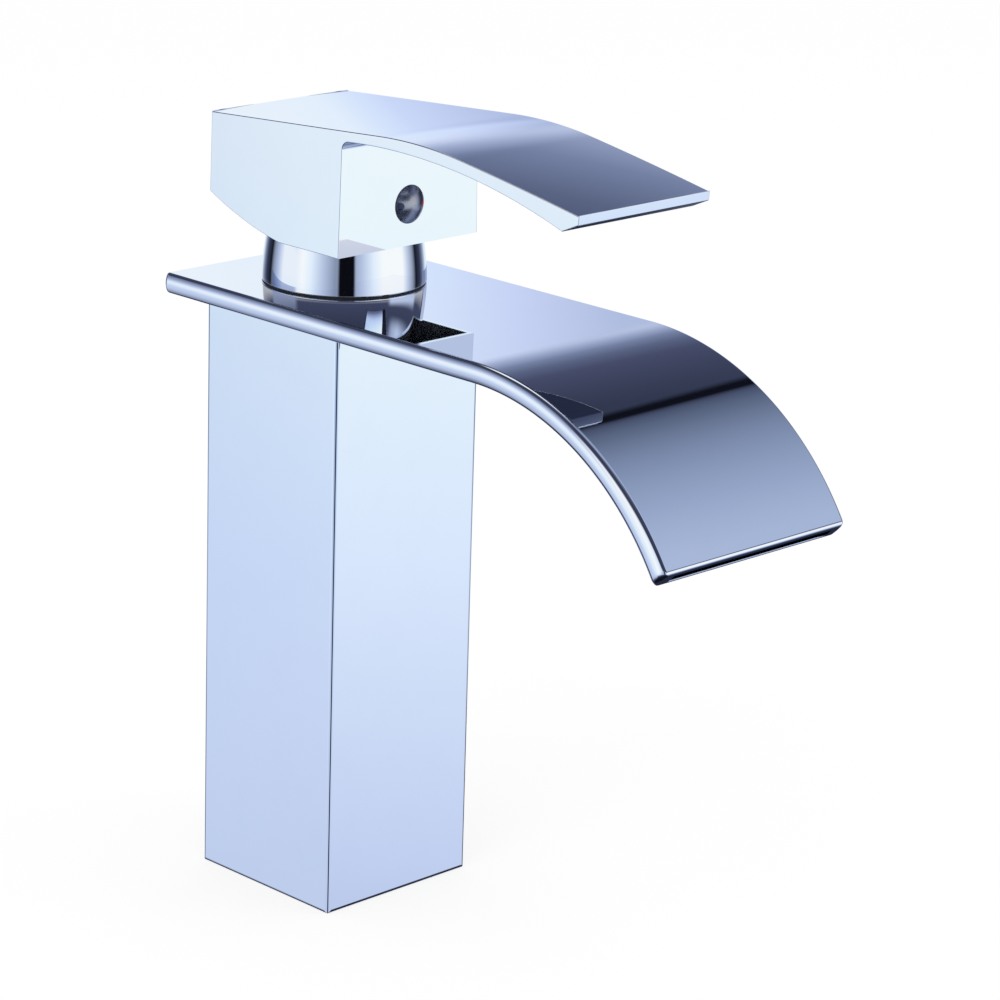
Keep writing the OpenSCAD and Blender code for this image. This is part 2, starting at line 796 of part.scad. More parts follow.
column_body();
base_gasket();
spout_gasket();
spout_top_plate();
spout_bottom_plate();
dome_seal_ring();
dome_cover();
cartridge_nut();
cartridge_housing();
cartridge_base();
port_seals();
fixed_disc();
slip_ring();
turret();
pivot_pin();
disc_carrier();
moving_disc();
cartridge_stem();
lever_handle();
set_screw();
index_button();
index_mark_hot();
index_mark_cold();
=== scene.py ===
"""Dressed model of a single-lever waterfall basin faucet.

Sizes are in millimetres in the classes and in metres in Blender. +Z is up, the spout
points along -Y, and the origin is the centre of the column's base.
"""

import json
import logging
import math
from dataclasses import dataclass
from enum import Enum
from functools import cache, reduce

import bmesh
import bpy
import numpy as np
from mathutils import Matrix


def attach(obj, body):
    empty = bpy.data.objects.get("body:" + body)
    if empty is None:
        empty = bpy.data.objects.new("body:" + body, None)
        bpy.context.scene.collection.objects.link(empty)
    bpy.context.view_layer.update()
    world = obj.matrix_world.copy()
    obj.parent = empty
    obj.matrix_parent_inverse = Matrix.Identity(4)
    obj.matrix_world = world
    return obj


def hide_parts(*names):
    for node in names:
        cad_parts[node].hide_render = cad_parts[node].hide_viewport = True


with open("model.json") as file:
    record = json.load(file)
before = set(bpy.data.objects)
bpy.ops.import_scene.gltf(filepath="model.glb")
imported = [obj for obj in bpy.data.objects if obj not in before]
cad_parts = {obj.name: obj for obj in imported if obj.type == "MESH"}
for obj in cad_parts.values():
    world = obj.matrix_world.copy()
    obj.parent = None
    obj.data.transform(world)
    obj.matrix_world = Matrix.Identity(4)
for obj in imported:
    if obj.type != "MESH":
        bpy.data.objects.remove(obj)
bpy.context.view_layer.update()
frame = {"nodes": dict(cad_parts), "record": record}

MM = 0.001
log = logging.getLogger("faucet")

Array = np.ndarray
Colour = tuple[float, float, float]
Shape = tuple[Array, list[list[int]]]
Stops = tuple[tuple[float, Colour], ...]

# Points closer than this, in metres, are one point, and shorter edges are taken out
MERGE_M = 2e-7
SHORT_M = 1e-7
# Steps round a large circle and a small one
LARGE_STEPS = 96
SMALL_STEPS = 32


class Body(str, Enum):
    """The bodies that the new pieces ride on."""

    FIXED = "body"
    LEVER = "lever"


class Operation(Enum):
    """What a tool does to a piece."""

    CUT = "DIFFERENCE"
    JOIN = "UNION"
    KEEP = "INTERSECT"


class Axis(Enum):
    """The axis that an outline is carried along."""

    X = 0
    Y = 1
    Z = 2


# Geometry helpers


def arc(centre: tuple[float, float], radius: float, start: float, end: float, steps: int) -> Array:
    """Points on a circle: centre plus radius times (cos, sin) of evenly spaced angles.

    Args:
        centre: middle of the circle.
        radius: its radius.
        start: first angle in degrees.
        end: last angle in degrees.
        steps: number of straight steps between the two.

    Returns:
        An array of steps + 1 points, two columns wide.
    """
    angles = np.radians(np.linspace(start, end, steps + 1))
    return np.column_stack([centre[0] + radius * np.cos(angles), centre[1] + radius * np.sin(angles)])


def grid_quads(rows: int, columns: int, wrap: bool = True, first: int = 0) -> Array:
    """Four-cornered faces between the rows of a grid whose points are numbered row by row.

    Args:
        rows: number of rows.
        columns: number of points in a row.
        wrap: whether the last column joins the first.
        first: number of the grid's first point.

    Returns:
        An array of point numbers, four columns wide.
    """
    row = np.arange(rows - 1)[:, None] * columns
    left = np.arange(columns if wrap else columns - 1)[None, :]
    right = (left + 1) % columns
    corners = [row + left, row + right, row + columns + right, row + columns + left]
    return first + np.stack(corners, axis=-1).reshape(-1, 4)


def turned(profile: Array, segments: int) -> Shape:
    """Surface of revolution: every profile point (r, z) is carried round the Z axis.

    Args:
        profile: closed ring of points (r, z), with r above zero.
        segments: number of steps round the axis.

    Returns:
        The points and the faces.
    """
    around = np.linspace(0, 2 * np.pi, segments, endpoint=False)
    r, z = profile[:, 0][:, None], profile[:, 1][:, None]
    points = np.stack([r * np.cos(around), r * np.sin(around), z + 0 * around], axis=-1)
    closed = np.concatenate([points, points[:1]])
    return closed.reshape(-1, 3), grid_quads(len(closed), segments).tolist()


def lofted(rings: Array) -> Shape:
    """Solid through a row of closed rings, with a flat face over the first and the last.

    Args:
        rings: array of shape (rings, points, 3).

    Returns:
        The points and the faces.
    """
    count, size = rings.shape[:2]
    faces = grid_quads(count, size).tolist()
    faces.append(list(range(size))[::-1])
    faces.append(list(range((count - 1) * size, count * size)))
    return rings.reshape(-1, 3), faces


def prism(outline: Array, low: float, high: float, axis: Axis = Axis.Z) -> Shape:
    """Solid whose closed outline is carried along one axis from low to high.

    Args:
        outline: points in the two other axes, in their own order.
        low: start of the solid on the axis.
        high: its end.
        axis: the axis.

    Returns:
        The points and the faces.
    """
    rings = np.stack([np.insert(outline, axis.value, level, axis=1) for level in (low, high)])
    return lofted(rings)


def circle(radius: float, steps: int, x: float = 0, y: float = 0) -> Array:
    """Closed ring of points on a circle round (x, y)."""
    return arc((x, y), radius, 0, 360, steps)[:-1]


def make_object(name: str, shape: Shape) -> bpy.types.Object:
    """Puts points in millimetres and faces into a new object that stands at the origin.

    Doubled points are merged and all faces are turned outwards.

    Args:
        name: name of the object and its mesh.
        shape: the points and the faces.

    Returns:
        The new object.
    """
    mesh = bpy.data.meshes.new(name)
    mesh.from_pydata((shape[0] * MM).tolist(), [], shape[1])
    work = bmesh.new()
    work.from_mesh(mesh)
    bmesh.ops.remove_doubles(work, verts=work.verts, dist=MERGE_M)
    bmesh.ops.dissolve_degenerate(work, dist=SHORT_M, edges=work.edges)
    bmesh.ops.recalc_face_normals(work, faces=work.faces)
    work.to_mesh(mesh)
    work.free()
    piece = bpy.data.objects.new(name, mesh)
    bpy.context.scene.collection.objects.link(piece)
    return piece


def combine(piece: bpy.types.Object, tool: bpy.types.Object, operation: Operation = Operation.CUT) -> None:
    """Cuts a tool out of a piece, joins it on or keeps what lies in it, and takes the tool away.

    Args:
        piece: the object that stays.
        tool: a closed solid that is used up.
        operation: what the tool does.
    """
    change = piece.modifiers.new("combine", "BOOLEAN")
    change.solver = "EXACT"
    change.operation = operation.value
    change.object = tool
    graph = bpy.context.evaluated_depsgraph_get()
    mesh = bpy.data.meshes.new_from_object(piece.evaluated_get(graph))
    piece.modifiers.clear()
    old, piece.data = piece.data, mesh
    mesh.name = old.name = piece.name
    bpy.data.meshes.remove(old)
    bpy.data.objects.remove(tool)


def finish_surface(piece: bpy.types.Object, crease: float = 28.0) -> None:
    """Shades a piece smoothly, with hard edges where faces meet at more than the crease angle.

    Args:
        piece: the object to finish.
        crease: angle in degrees.
    """
    mesh = piece.data
    mesh.shade_smooth()
    mesh.set_sharp_from_angle(angle=math.radians(crease))
    even = piece.modifiers.new("even_shading", "WEIGHTED_NORMAL")
    even.keep_sharp = True


def settle(piece: bpy.types.Object, body: Body, slot: str, paint: "Paintbox", *nodes: str) -> None:
    """Gives a piece its finish, its body and the CAD nodes that it stands for.

    Args:
        piece: the object.
        body: the body that it rides on.
        slot: the record's material slot.
        paint: the finishes.
        nodes: the CAD nodes that it replaces.
    """
    piece.data.materials.clear()
    piece.data.materials.append(paint.get(slot))
    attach(piece, body.value)
    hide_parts(*nodes)
    log.info("%s: %d faces, stands for %s", piece.name, len(piece.data.polygons), ", ".join(nodes))


# Materials


def linear(red: float, green: float, blue: float) -> Colour:
    """Turns a display colour into a linear one.

    Args:
        red: red share from 0 to 255.
        green: green share from 0 to 255.
        blue: blue share from 0 to 255.

    Returns:
        The linear colour, from 0 to 1.
    """
    values = np.array([red, green, blue]) / 255
    out = np.where(values <= 0.04045, values / 12.92, ((values + 0.055) / 1.055) ** 2.4)
    return tuple(float(v) for v in out)


class Graph:
    """Short way to place and join shader nodes in one tree."""

    # Places of the colours among the mix node's sockets
    MIX_FIRST, MIX_SECOND, MIX_RESULT = 6, 7, 2

    def __init__(self, tree: bpy.types.NodeTree) -> None:
        """Keeps the tree that the nodes go into."""
        self.tree = tree

    def node(self, kind: str, **settings: object) -> bpy.types.Node:
        """Adds a node and sets its properties.

        Args:
            kind: name of the node type, without its ShaderNode prefix.
            settings: properties by name.

        Returns:
            The node.
        """
        made = self.tree.nodes.new(kind if kind.startswith("Node") else "ShaderNode" + kind)
        for name, value in settings.items():
            setattr(made, name, value)
        return made

    def feed(self, socket: bpy.types.NodeSocket, value: object) -> None:
        """Joins a value to a socket, or sets it there if it is a plain number or colour.

        Args:
            socket: the input socket.
            value: an output socket, a number, a colour, or None to leave the input as it is.
        """
        if isinstance(value, bpy.types.NodeSocket):
            self.tree.links.new(value, socket)
        elif value is not None:
            is_colour = isinstance(value, tuple) and socket.type == "RGBA"
            socket.default_value = (*value, 1.0) if is_colour else value

    def math(self, operation: str, a: object, b: object = None, c: object = None) -> bpy.types.NodeSocket:
        """Result of one arithmetic step.

        Args:
            operation: name of the math node's operation.
            a: first value.
            b: second value, if the operation has one.
            c: third value, if the operation has one.

        Returns:
            The result's socket.
        """
        step = self.node("Math", operation=operation)
        for socket, value in zip(step.inputs, (a, b, c)):
            self.feed(socket, value)
        return step.outputs[0]

    def product(self, *shares: object) -> bpy.types.NodeSocket:
        """Product of several numbers."""
        return reduce(lambda a, b: self.math("MULTIPLY", a, b), shares)

    def between(self, share: object, low: object, high: object) -> bpy.types.NodeSocket:
        """Number that goes from low to high with the share."""
        return self.math("MULTIPLY_ADD", share, self.math("SUBTRACT", high, low), low)

    def share(self, value: object, low: float, high: float, smooth: bool = True) -> bpy.types.NodeSocket:
        """Share from 0 at low to 1 at high.

        Args:
            value: the number to map.
            low: where the share is 0.
            high: where it is 1.
            smooth: whether it starts and ends softly.

        Returns:
            The share's socket.
        """
        step = self.node("MapRange", interpolation_type="SMOOTHSTEP" if smooth else "LINEAR")
        for name, item in (("Value", value), ("From Min", low), ("From Max", high)):
            self.feed(step.inputs[name], item)
        return step.outputs[0]

    def window(self, value: object, start: tuple[float, float],
               end: tuple[float, float]) -> bpy.types.NodeSocket:
        """Share that rises from 0 to 1 over the start and falls from 1 to 0 over the end."""
        return self.product(self.share(value, *start), self.share(value, *end[::-1]))

    def mix(self, share: object, a: object, b: object, blend: str = "MIX") -> bpy.types.NodeSocket:
        """Colour between a and b, or a dimmed by b with the blend MULTIPLY.

        Args:
            share: 0 for a alone, 1 for the full effect of b.
            a: first colour.
            b: second colour.
            blend: name of the blend.

        Returns:
            The colour's socket.
        """
        step = self.node("Mix", data_type="RGBA", blend_type=blend)
        self.feed(step.inputs["Factor"], share)
        self.feed(step.inputs[self.MIX_FIRST], a)
        self.feed(step.inputs[self.MIX_SECOND], b)
        return step.outputs[self.MIX_RESULT]

    def ramp(self, value: object, stops: Stops) -> bpy.types.NodeSocket:
        """Colour looked up on a row of stops.

        Args:
            value: the number that picks the colour.
            stops: pairs of a number and a display colour, in rising order.

        Returns:
            The colour's socket.
        """
        low, high = stops[0][0], stops[-1][0]
        step = self.node("ValToRGB")
        marks = step.color_ramp.elements
        for number, (place, colour) in enumerate(stops):
            mark = marks[number] if number < len(marks) else marks.new(1.0)
            mark.position = (place - low) / (high - low)
            mark.color = (*linear(*colour), 1.0)
        self.feed(step.inputs[0], self.share(value, low, high, smooth=False))
        return step.outputs[0]

    def noise(self, size: object, detail: float = 2.0, roughness: float = 0.5) -> bpy.types.NodeSocket:
        """Noise over the piece's own coordinates.

        Args:
            size: how many patches fit on a metre.
            detail: number of finer layers.
            roughness: how strong the finer layers are.

        Returns:
            The noise's socket.
        """
        texture = self.node("TexNoise")
        self.feed(texture.inputs["Vector"], self.node("TexCoord").outputs["Object"])
        for name, value in (("Scale", size), ("Detail", detail), ("Roughness", roughness)):
            self.feed(texture.inputs[name], value)
        return texture.outputs[0]

    def put(self, outputs: dict[str, bpy.types.NodeSocket], **values: object) -> bpy.types.NodeTree:
        """Joins a group's outputs, by their names in small letters.

        Args:
            outputs: the output sockets by name.
            values: what each puts out.

        Returns:
            The group's tree.
        """
        for name, value in values.items():
            self.feed(outputs[name.title()], value)
        return self.tree


def shader_group(name: str, inputs: dict[str, float], outputs: dict[str, str]) -> tuple[Graph, dict, dict]:
    """Starts a shader node group with named sockets.

    Args:
        name: name of the group.
        inputs: names of its number inputs, with their usual values.
        outputs: names of its outputs, with their socket types.

    Returns:
        The group's graph, its input sockets and its output sockets, by name.
    """
    tree = bpy.data.node_groups.new(name, "ShaderNodeTree")
    for title, value in inputs.items():
        socket = tree.interface.new_socket(title, in_out="INPUT", socket_type="NodeSocketFloat")
        socket.default_value = value
    for title, kind in outputs.items():
        tree.interface.new_socket(title, in_out="OUTPUT", socket_type=kind)
    graph = Graph(tree)
    start, end = graph.node("NodeGroupInput"), graph.node("NodeGroupOutput")
    return graph, {k: start.outputs[k] for k in inputs}, {k: end.inputs[k] for k in outputs}


def polish_group() -> bpy.types.NodeTree:
    """Fine marks of a polished plating: a slow wave in the surface and faint wiping haze.

    Returns:
        A group that puts out a roughness, a height and a mask of the haze.
    """
    graph, inputs, outputs = shader_group(
        "polished_plating",
        {"Wave Size": 30.0, "Haze Size": 90.0, "Clean Roughness": 0.03, "Hazy Roughness": 0.06},
        {"Roughness": "NodeSocketFloat", "Height": "NodeSocketFloat", "Haze": "NodeSocketFloat"})
    wave = graph.noise(inputs["Wave Size"], detail=1.0)
    haze = graph.share(graph.noise(inputs["Haze Size"], detail=6.0, roughness=0.65), low=0.42, high=0.72)
    roughness = graph.between(haze, inputs["Clean Roughness"], inputs["Hazy Roughness"])
    return graph.put(outputs, roughness=roughness, height=wave, haze=haze)


def grain_group() -> bpy.types.NodeTree:
    """Fine irregular grain of a moulded, sintered or cast surface, with slow cloudy spots.

    Returns:
        A group that puts out a mask for colour, a height and a roughness.
    """
    graph, inputs, outputs = shader_group(
        "fine_grain",
        {"Grain Size": 2500.0, "Spot Size": 120.0, "Low Roughness": 0.4, "High Roughness": 0.6},
        {"Mask": "NodeSocketFloat", "Height": "NodeSocketFloat", "Roughness": "NodeSocketFloat"})
    grain = graph.noise(inputs["Grain Size"], detail=3.0)
    mask = graph.share(graph.noise(inputs["Spot Size"], detail=5.0), low=0.35, high=0.7)
    roughness = graph.between(mask, inputs["Low Roughness"], inputs["High Roughness"])
    return graph.put(outputs, mask=mask, height=grain, roughness=roughness)


# How strongly the turning rings show among the noise, and how many of its patches fit on a metre
RING_SHARE = 0.15
PATCH_SIZE = 260.0


def lathe_group() -> bpy.types.NodeTree:
    """Turning marks: fine rings round the faucet's axis, broken up a little by noise.

    The ring number is the distance from the Z axis plus the height, times the ring size.

    Returns:
        A group that puts out a mask, a height and a roughness.
    """
    graph, inputs, outputs = shader_group(
        "turning_marks",
        {"Ring Size": 9000.0, "Low Roughness": 0.2, "High Roughness": 0.36},
        {"Mask": "NodeSocketFloat", "Height": "NodeSocketFloat", "Roughness": "NodeSocketFloat"})
    split = graph.node("SeparateXYZ")
    graph.feed(split.inputs[0], graph.node("TexCoord").outputs["Object"])
    x, y, z = split.outputs
    radius = graph.math("SQRT", graph.math("MULTIPLY_ADD", y, y, graph.math("MULTIPLY", x, x)))
    rings = graph.math("SINE", graph.math("MULTIPLY", graph.math("ADD", radius, z), inputs["Ring Size"]))
    broken_up = graph.math("MULTIPLY_ADD", rings, RING_SHARE, graph.noise(size=PATCH_SIZE))
    mask = graph.share(broken_up, low=0.3, high=0.75)
    roughness = graph.between(mask, inputs["Low Roughness"], inputs["High Roughness"])
    return graph.put(outputs, mask=mask, height=rings, roughness=roughness)


class Pattern(Enum):
    """The surface patterns that several finishes share."""

    POLISH = "polished plating"
    GRAIN = "fine grain"
    LATHE = "turning marks"


@cache
def shared_group(pattern: Pattern) -> bpy.types.NodeTree:
    """Builds the node group of a pattern on its first use and keeps it."""
    return {Pattern.POLISH: polish_group, Pattern.GRAIN: grain_group, Pattern.LATHE: lathe_group}[pattern]()


def start_material(name: str) -> tuple[bpy.types.Material, Graph, bpy.types.Node]:
    """Makes an empty material with one shader.

    Args:
        name: name of the material.

    Returns:
        The material, its graph and its Principled shader.
    """
    material = bpy.data.materials.new(name)
    material.use_nodes = True
    material.node_tree.nodes.clear()
    graph = Graph(material.node_tree)
    shader = graph.node("BsdfPrincipled")
    output = graph.node("OutputMaterial")
    graph.feed(output.inputs["Surface"], shader.outputs[0])
    return material, graph, shader


def use_group(graph: Graph, pattern: Pattern, **values: float) -> bpy.types.Node:
    """Places a shared group in a material with that material's own values.

    Args:
        graph: the material's graph.
        pattern: the pattern.
        values: the group's inputs, by their names in small letters with low lines.

    Returns:
        The placed group.
    """
    placed = graph.node("Group", node_tree=shared_group(pattern))
    for name, value in values.items():
        placed.inputs[name.replace("_", " ").title()].default_value = value
    return placed


def dress(graph: Graph, shader: bpy.types.Node, group: bpy.types.Node, mask: str,
          colours: tuple[Colour, Colour], depth_mm: float) -> None:
    """Feeds a shared group's outputs to the shader.

    Args:
        graph: the material's graph.
        shader: its shader.
        group: the placed group.
        mask: the output that goes from the first colour to the second.
        colours: the two colours.
        depth_mm: depth that the full range of the group's height stands for.
    """
    graph.feed(shader.inputs["Base Color"], graph.mix(group.outputs[mask], *colours))
    graph.feed(shader.inputs["Roughness"], group.outputs["Roughness"])
    bump = graph.node("Bump")
    bump.inputs["Strength"].default_value = 1.0
    bump.inputs["Distance"].default_value = depth_mm * MM
    graph.feed(bump.inputs["Height"], group.outputs["Height"])
    graph.feed(shader.inputs["Normal"], bump.outputs[0])


@dataclass(frozen=True)
class Chrome:
    """Polished chrome plate: a bluish mirror with a faint haze."""

    name: str
    colour: Colour = (0.93, 0.945, 0.975)
    hazed: Colour = (0.92, 0.936, 0.968)
    clean_roughness: float = 0.012
    hazy_roughness: float = 0.03
    wave_mm: float = 0.0004

    def build(self) -> bpy.types.Material:
        """Builds the finish out of its group and one shader.

        Returns:
            The finished material.
        """
        material, graph, shader = start_material(self.name)
        polish = use_group(graph, Pattern.POLISH, clean_roughness=self.clean_roughness,
                           hazy_roughness=self.hazy_roughness)
        shader.inputs["Metallic"].default_value = 1.0
        dress(graph, shader, polish, "Haze", (self.colour, self.hazed), self.wave_mm)
        return material


@dataclass(frozen=True)
class Machined:
    """Bare turned metal with fine rings."""

    name: str
    colour: Colour
    worn: Colour
    ring_size: float = 9000.0
    ring_mm: float = 0.004

    def build(self) -> bpy.types.Material:
        """Builds the finish out of its group and one shader.

        Returns:
            The finished material.
        """
        material, graph, shader = start_material(self.name)
        marks = use_group(graph, Pattern.LATHE, ring_size=self.ring_size)
        shader.inputs["Metallic"].default_value = 1.0
        dress(graph, shader, marks, "Mask", (self.colour, self.worn), self.ring_mm)
        return material


@dataclass(frozen=True)
class Moulded:
    """Plastic, rubber, ceramic or enamel with a fine grain."""

    name: str
    colour: Colour
    shade: Colour
    low_roughness: float = 0.4
    high_roughness: float = 0.55
    grain_mm: float = 0.01
    grain_size: float = 2500.0
    coat: float = 0.0

    def build(self) -> bpy.types.Material:
        """Builds the finish out of its group and one shader.

        Returns:
            The finished material.
        """
        material, graph, shader = start_material(self.name)
        grain = use_group(graph, Pattern.GRAIN, grain_size=self.grain_size,
                          low_roughness=self.low_roughness, high_roughness=self.high_roughness)
        shader.inputs["Coat Weight"].default_value = self.coat
        dress(graph, shader, grain, "Mask", (self.colour, self.shade), self.grain_mm)
        return material


def enamel(name: str, colour: Colour, shade: Colour) -> Moulded:
    """Glossy enamel of the given colours."""
    return Moulded(name, colour, shade, low_roughness=0.1, high_roughness=0.2, grain_mm=0.002,
                   grain_size=1500.0, coat=0.6)


FINISHES = {
    "chrome_body": Chrome("chrome_body"),
    "chrome_spout": Chrome("chrome_spout"),
    "chrome_dome": Chrome("chrome_dome", wave_mm=0.0002),
    "chrome_handle": Chrome("chrome_handle"),
    "chrome_button": Chrome("chrome_button", (0.42, 0.425, 0.48), (0.36, 0.365, 0.42),
                            clean_roughness=0.24, hazy_roughness=0.3, wave_mm=0.0002),
    # raw_casting: the bare casting, darkened to near black as painted shade for the hollow under the handle
    "raw_casting": Moulded("raw_casting", (0.06, 0.062, 0.07), (0.035, 0.036, 0.042),
                           low_roughness=0.6, high_roughness=0.8, grain_mm=0.05, grain_size=900.0),
    "plain_brass": Machined("plain_brass", (0.78, 0.62, 0.32), (0.6, 0.44, 0.2)),
    "plain_steel": Machined("plain_steel", (0.6, 0.6, 0.62), (0.42, 0.42, 0.45), ring_size=14000.0),
    "black_rubber": Moulded("black_rubber", (0.01, 0.01, 0.012), (0.022, 0.022, 0.026),
                            low_roughness=0.5, high_roughness=0.7, grain_mm=0.02),
    "white_plastic": Moulded("white_plastic", (0.85, 0.85, 0.83), (0.78, 0.78, 0.75)),
    "grey_plastic": Moulded("grey_plastic", (0.35, 0.38, 0.42), (0.28, 0.3, 0.34)),
    "red_plastic": Moulded("red_plastic", (0.7, 0.16, 0.12), (0.6, 0.11, 0.08)),
    "blue_plastic": Moulded("blue_plastic", (0.18, 0.32, 0.6), (0.13, 0.25, 0.5)),
    "disc_ceramic": Moulded("disc_ceramic", (0.93, 0.91, 0.86), (0.88, 0.85, 0.79),
                            low_roughness=0.08, high_roughness=0.16, grain_mm=0.001),
    "red_enamel": enamel("red_enamel", (0.5, 0.02, 0.03), (0.36, 0.01, 0.02)),
    "blue_enamel": enamel("blue_enamel", (0.012, 0.02, 0.07), (0.008, 0.012, 0.045)),
}


class Paintbox:
    """Builds each finish on its first use."""

    def __init__(self) -> None:
        """Starts with nothing built."""
        self._made: dict[str, bpy.types.Material] = {}

    def get(self, slot: str) -> bpy.types.Material:
        """Finds the material of a slot, and builds it if it is new.

        Args:
            slot: the record's material slot.

        Returns:
            The material.
        """
        if slot not in self._made:
            self._made[slot] = FINISHES[slot].build()
        return self._made[slot]


# Sub-assemblies


@dataclass
class Spout:
    """The hollow plate that is flat over the column and curves down to the lip."""

    width: float = 58.0
    thickness: float = 4.8
    top_z: float = 146.0
    rear_y: float = 30.5
    bend_y: float = -71.7
    bend_r: float = 68.5
    bend_angle: float = 57.0
    lip: float = 2.7
    end_r: float = 1.4
    rim_r: float = 0.85
    lip_slant: float = 1.0
    corner_r: float = 0.9
    bulge_angle: float = 28.0
    roof: float = 1.2
    channel_h: float = 2.4
    side_wall: float = 4.0
    closing_t: float = 1.2
    ledge: float = 1.5
    neck_hole_r: float = 16.15
    collar_r: float = 17.6
    port_in_r: float = 17.95
    port_out_r: float = 20.55
    port_half_angle: float = 42.0
    air_gap: float = 0.35
    fit_gap: float = 0.05
    arc_steps: int = 10
    bulge_steps: int = 14
    port_steps: int = 24
    flat_stations: int = 12
    bend_steps: int = 95
    first_lip_share: float = 0.2
    overrun: float = 1.0
    post_overrun: float = 2.0

    def path(self, rear: float, past: float = 0.0, end_steps: int = 0) -> tuple[Array, Array, Array]:
        """Stations along the plate: flat, then on the bend's circle, then straight on to the lip.

        Args:
            rear: y of the first station.
            past: how far the last station lies beyond the lip.
            end_steps: number of closely spaced stations on the rounding of each end.

        Returns:
            The points on the top face, the directions into the plate, and each station's
            distance from the nearer end.
        """
        turn = math.radians(self.bend_angle)
        rounded = end_steps > 0
        ends = self.end_r * (1 - np.cos(np.radians(np.linspace(0, 90, end_steps + 1))))
        flat_y = np.linspace(rear - self.end_r * rounded, self.bend_y, self.flat_stations)
        if rounded:
            flat_y = np.concatenate([rear - ends[:-1], flat_y])
        angles = np.linspace(0, turn, self.bend_steps + 1)[1:]
        run = self.lip + past
        lip_s = run - ends[::-1]
        if rounded:
            lip_s = np.concatenate([[run * self.first_lip_share], lip_s])
        flat_points = np.column_stack([0 * flat_y, flat_y, 0 * flat_y + self.top_z])
        centre_z = self.top_z - self.bend_r
        bend = np.column_stack([0 * angles, self.bend_y - self.bend_r * np.sin(angles),
                                centre_z + self.bend_r * np.cos(angles)])
        tangent = np.array([0, -math.cos(turn), -math.sin(turn)])
        straight = bend[-1] + lip_s[:, None] * tangent
        points = np.concatenate([flat_points, bend, straight])
        tilt = np.concatenate([0 * flat_y, angles, turn + 0 * lip_s])
        inward = np.column_stack([0 * tilt, np.sin(tilt), -np.cos(tilt)])
        length = np.concatenate([[0], np.cumsum(np.linalg.norm(np.diff(points, axis=0), axis=1))])
        return points, inward, np.minimum(length, length[-1] - length)

    def side_section(self) -> Array:
        """Right-hand side of the plate's section, as (x, depth) from the top round to the underside.

        A bulged face, which is an arc of plus and minus the bulge angle, ends in a tight arc
        at the top and at the underside. The bulge's radius follows from the thickness.

        Returns:
            The points of the right-hand side.
        """
        angle = math.radians(self.bulge_angle)
        r, middle = self.corner_r, self.thickness / 2
        bulge_r = (middle - r * (1 - math.sin(angle))) / math.sin(angle)
        bulge = arc((self.width / 2 - bulge_r, middle), bulge_r, -self.bulge_angle, self.bulge_angle,
                    self.bulge_steps)
        corner_x = bulge[0, 0] - r * math.cos(angle)
        upper = arc((corner_x, r), r, -90, -self.bulge_angle, self.arc_steps)
        lower = arc((corner_x, self.thickness - r), r, self.bulge_angle, 90, self.arc_steps)
        return np.concatenate([upper, bulge[1:-1], lower])

    @staticmethod
    def rounding(distance: Array, radius: float) -> Array:
        """Depth a rounded end takes off: r less a circle's height over the distance from the end."""
        inside = np.clip(radius - distance, 0, radius)
        return radius - np.sqrt(radius**2 - inside**2)

    def layer(self, name: str, half: float, top: float, bottom: float, rear: float) -> bpy.types.Object:
        """Flat bar of rectangular section that follows the plate between two depths.

        Args:
            name: name of the bar.
            half: half its width.
            top: depth of its upper face.
            bottom: depth of its lower face.
            rear: y of its rear end.

        Returns:
            The bar, which ends beyond the lip.
        """
        points, inward, _ = self.path(rear, self.overrun)
        section = np.array([[-half, top], [half, top], [half, bottom], [-half, bottom]])
        rings = points[:, None] + section[None, :, 1:] * inward[:, None]
        rings[..., 0] += section[:, 0]
        return make_object(name, lofted(rings))

    def outside(self, name: str) -> bpy.types.Object:
        """The plate's whole outside: a rounded rectangle carried along the path.

        Near both ends the section's depths are clipped to the rim's rounding, and its sides
        move in along a larger one, which rounds the plate's corners. The lip's end face leans:
        its lower edge stands forward of the upper one.

        Args:
            name: name of the piece.

        Returns:
            The full plate, without its channel.
        """
        points, inward, distance = self.path(self.rear_y, 0.0, self.arc_steps)
        t = self.thickness
        side = self.side_section()
        section = np.concatenate([side, (side * [-1, 1])[::-1]])
        cut = self.rounding(distance, self.rim_r)[:, None]
        side_cut = self.rounding(distance, self.end_r)[:, None]
        depth = np.clip(section[None, :, 1], cut, t - cut)
        rings = points[:, None] + depth[..., None] * inward[:, None]
        rings[..., 0] += section[:, 0] - np.sign(section[:, 0]) * side_cut
        in_front = np.arange(len(distance)) > len(distance) // 2
        near_lip = np.clip(1 - distance / self.lip, 0, 1) * in_front
        onward = np.column_stack([0 * distance, inward[:, 2], -inward[:, 1]])
        lean = self.lip_slant * near_lip[:, None] * (depth / t)
        return make_object(name, lofted(rings + lean[..., None] * onward[:, None]))

    def post(self, radius: float, above: float = 0.0) -> bpy.types.Object:
        """Round tool that stands through the plate and the given height above it."""
        low = self.top_z - self.thickness - self.post_overrun
        return make_object("post", prism(circle(radius, LARGE_STEPS), low, self.top_z + above))

    def shell(self) -> bpy.types.Object:
        """The upper shell, with the channel, the ledge for the closing plate and the neck hole.

        Returns:
            The finished shell.
        """
        plate = self.outside("spout_shell")
        half, rear = self.width / 2 - self.side_wall, self.port_out_r + self.air_gap
        channel = self.layer("channel", half, self.roof, self.roof + self.channel_h, rear)
        combine(channel, self.post(self.collar_r, self.post_overrun))
        combine(plate, channel)
        combine(plate, self.layer("recess", half + self.ledge, self.thickness - self.closing_t,
                                  self.thickness + self.overrun, rear + self.ledge))
        combine(plate, self.post(self.neck_hole_r, self.post_overrun))
        finish_surface(plate)
        return plate

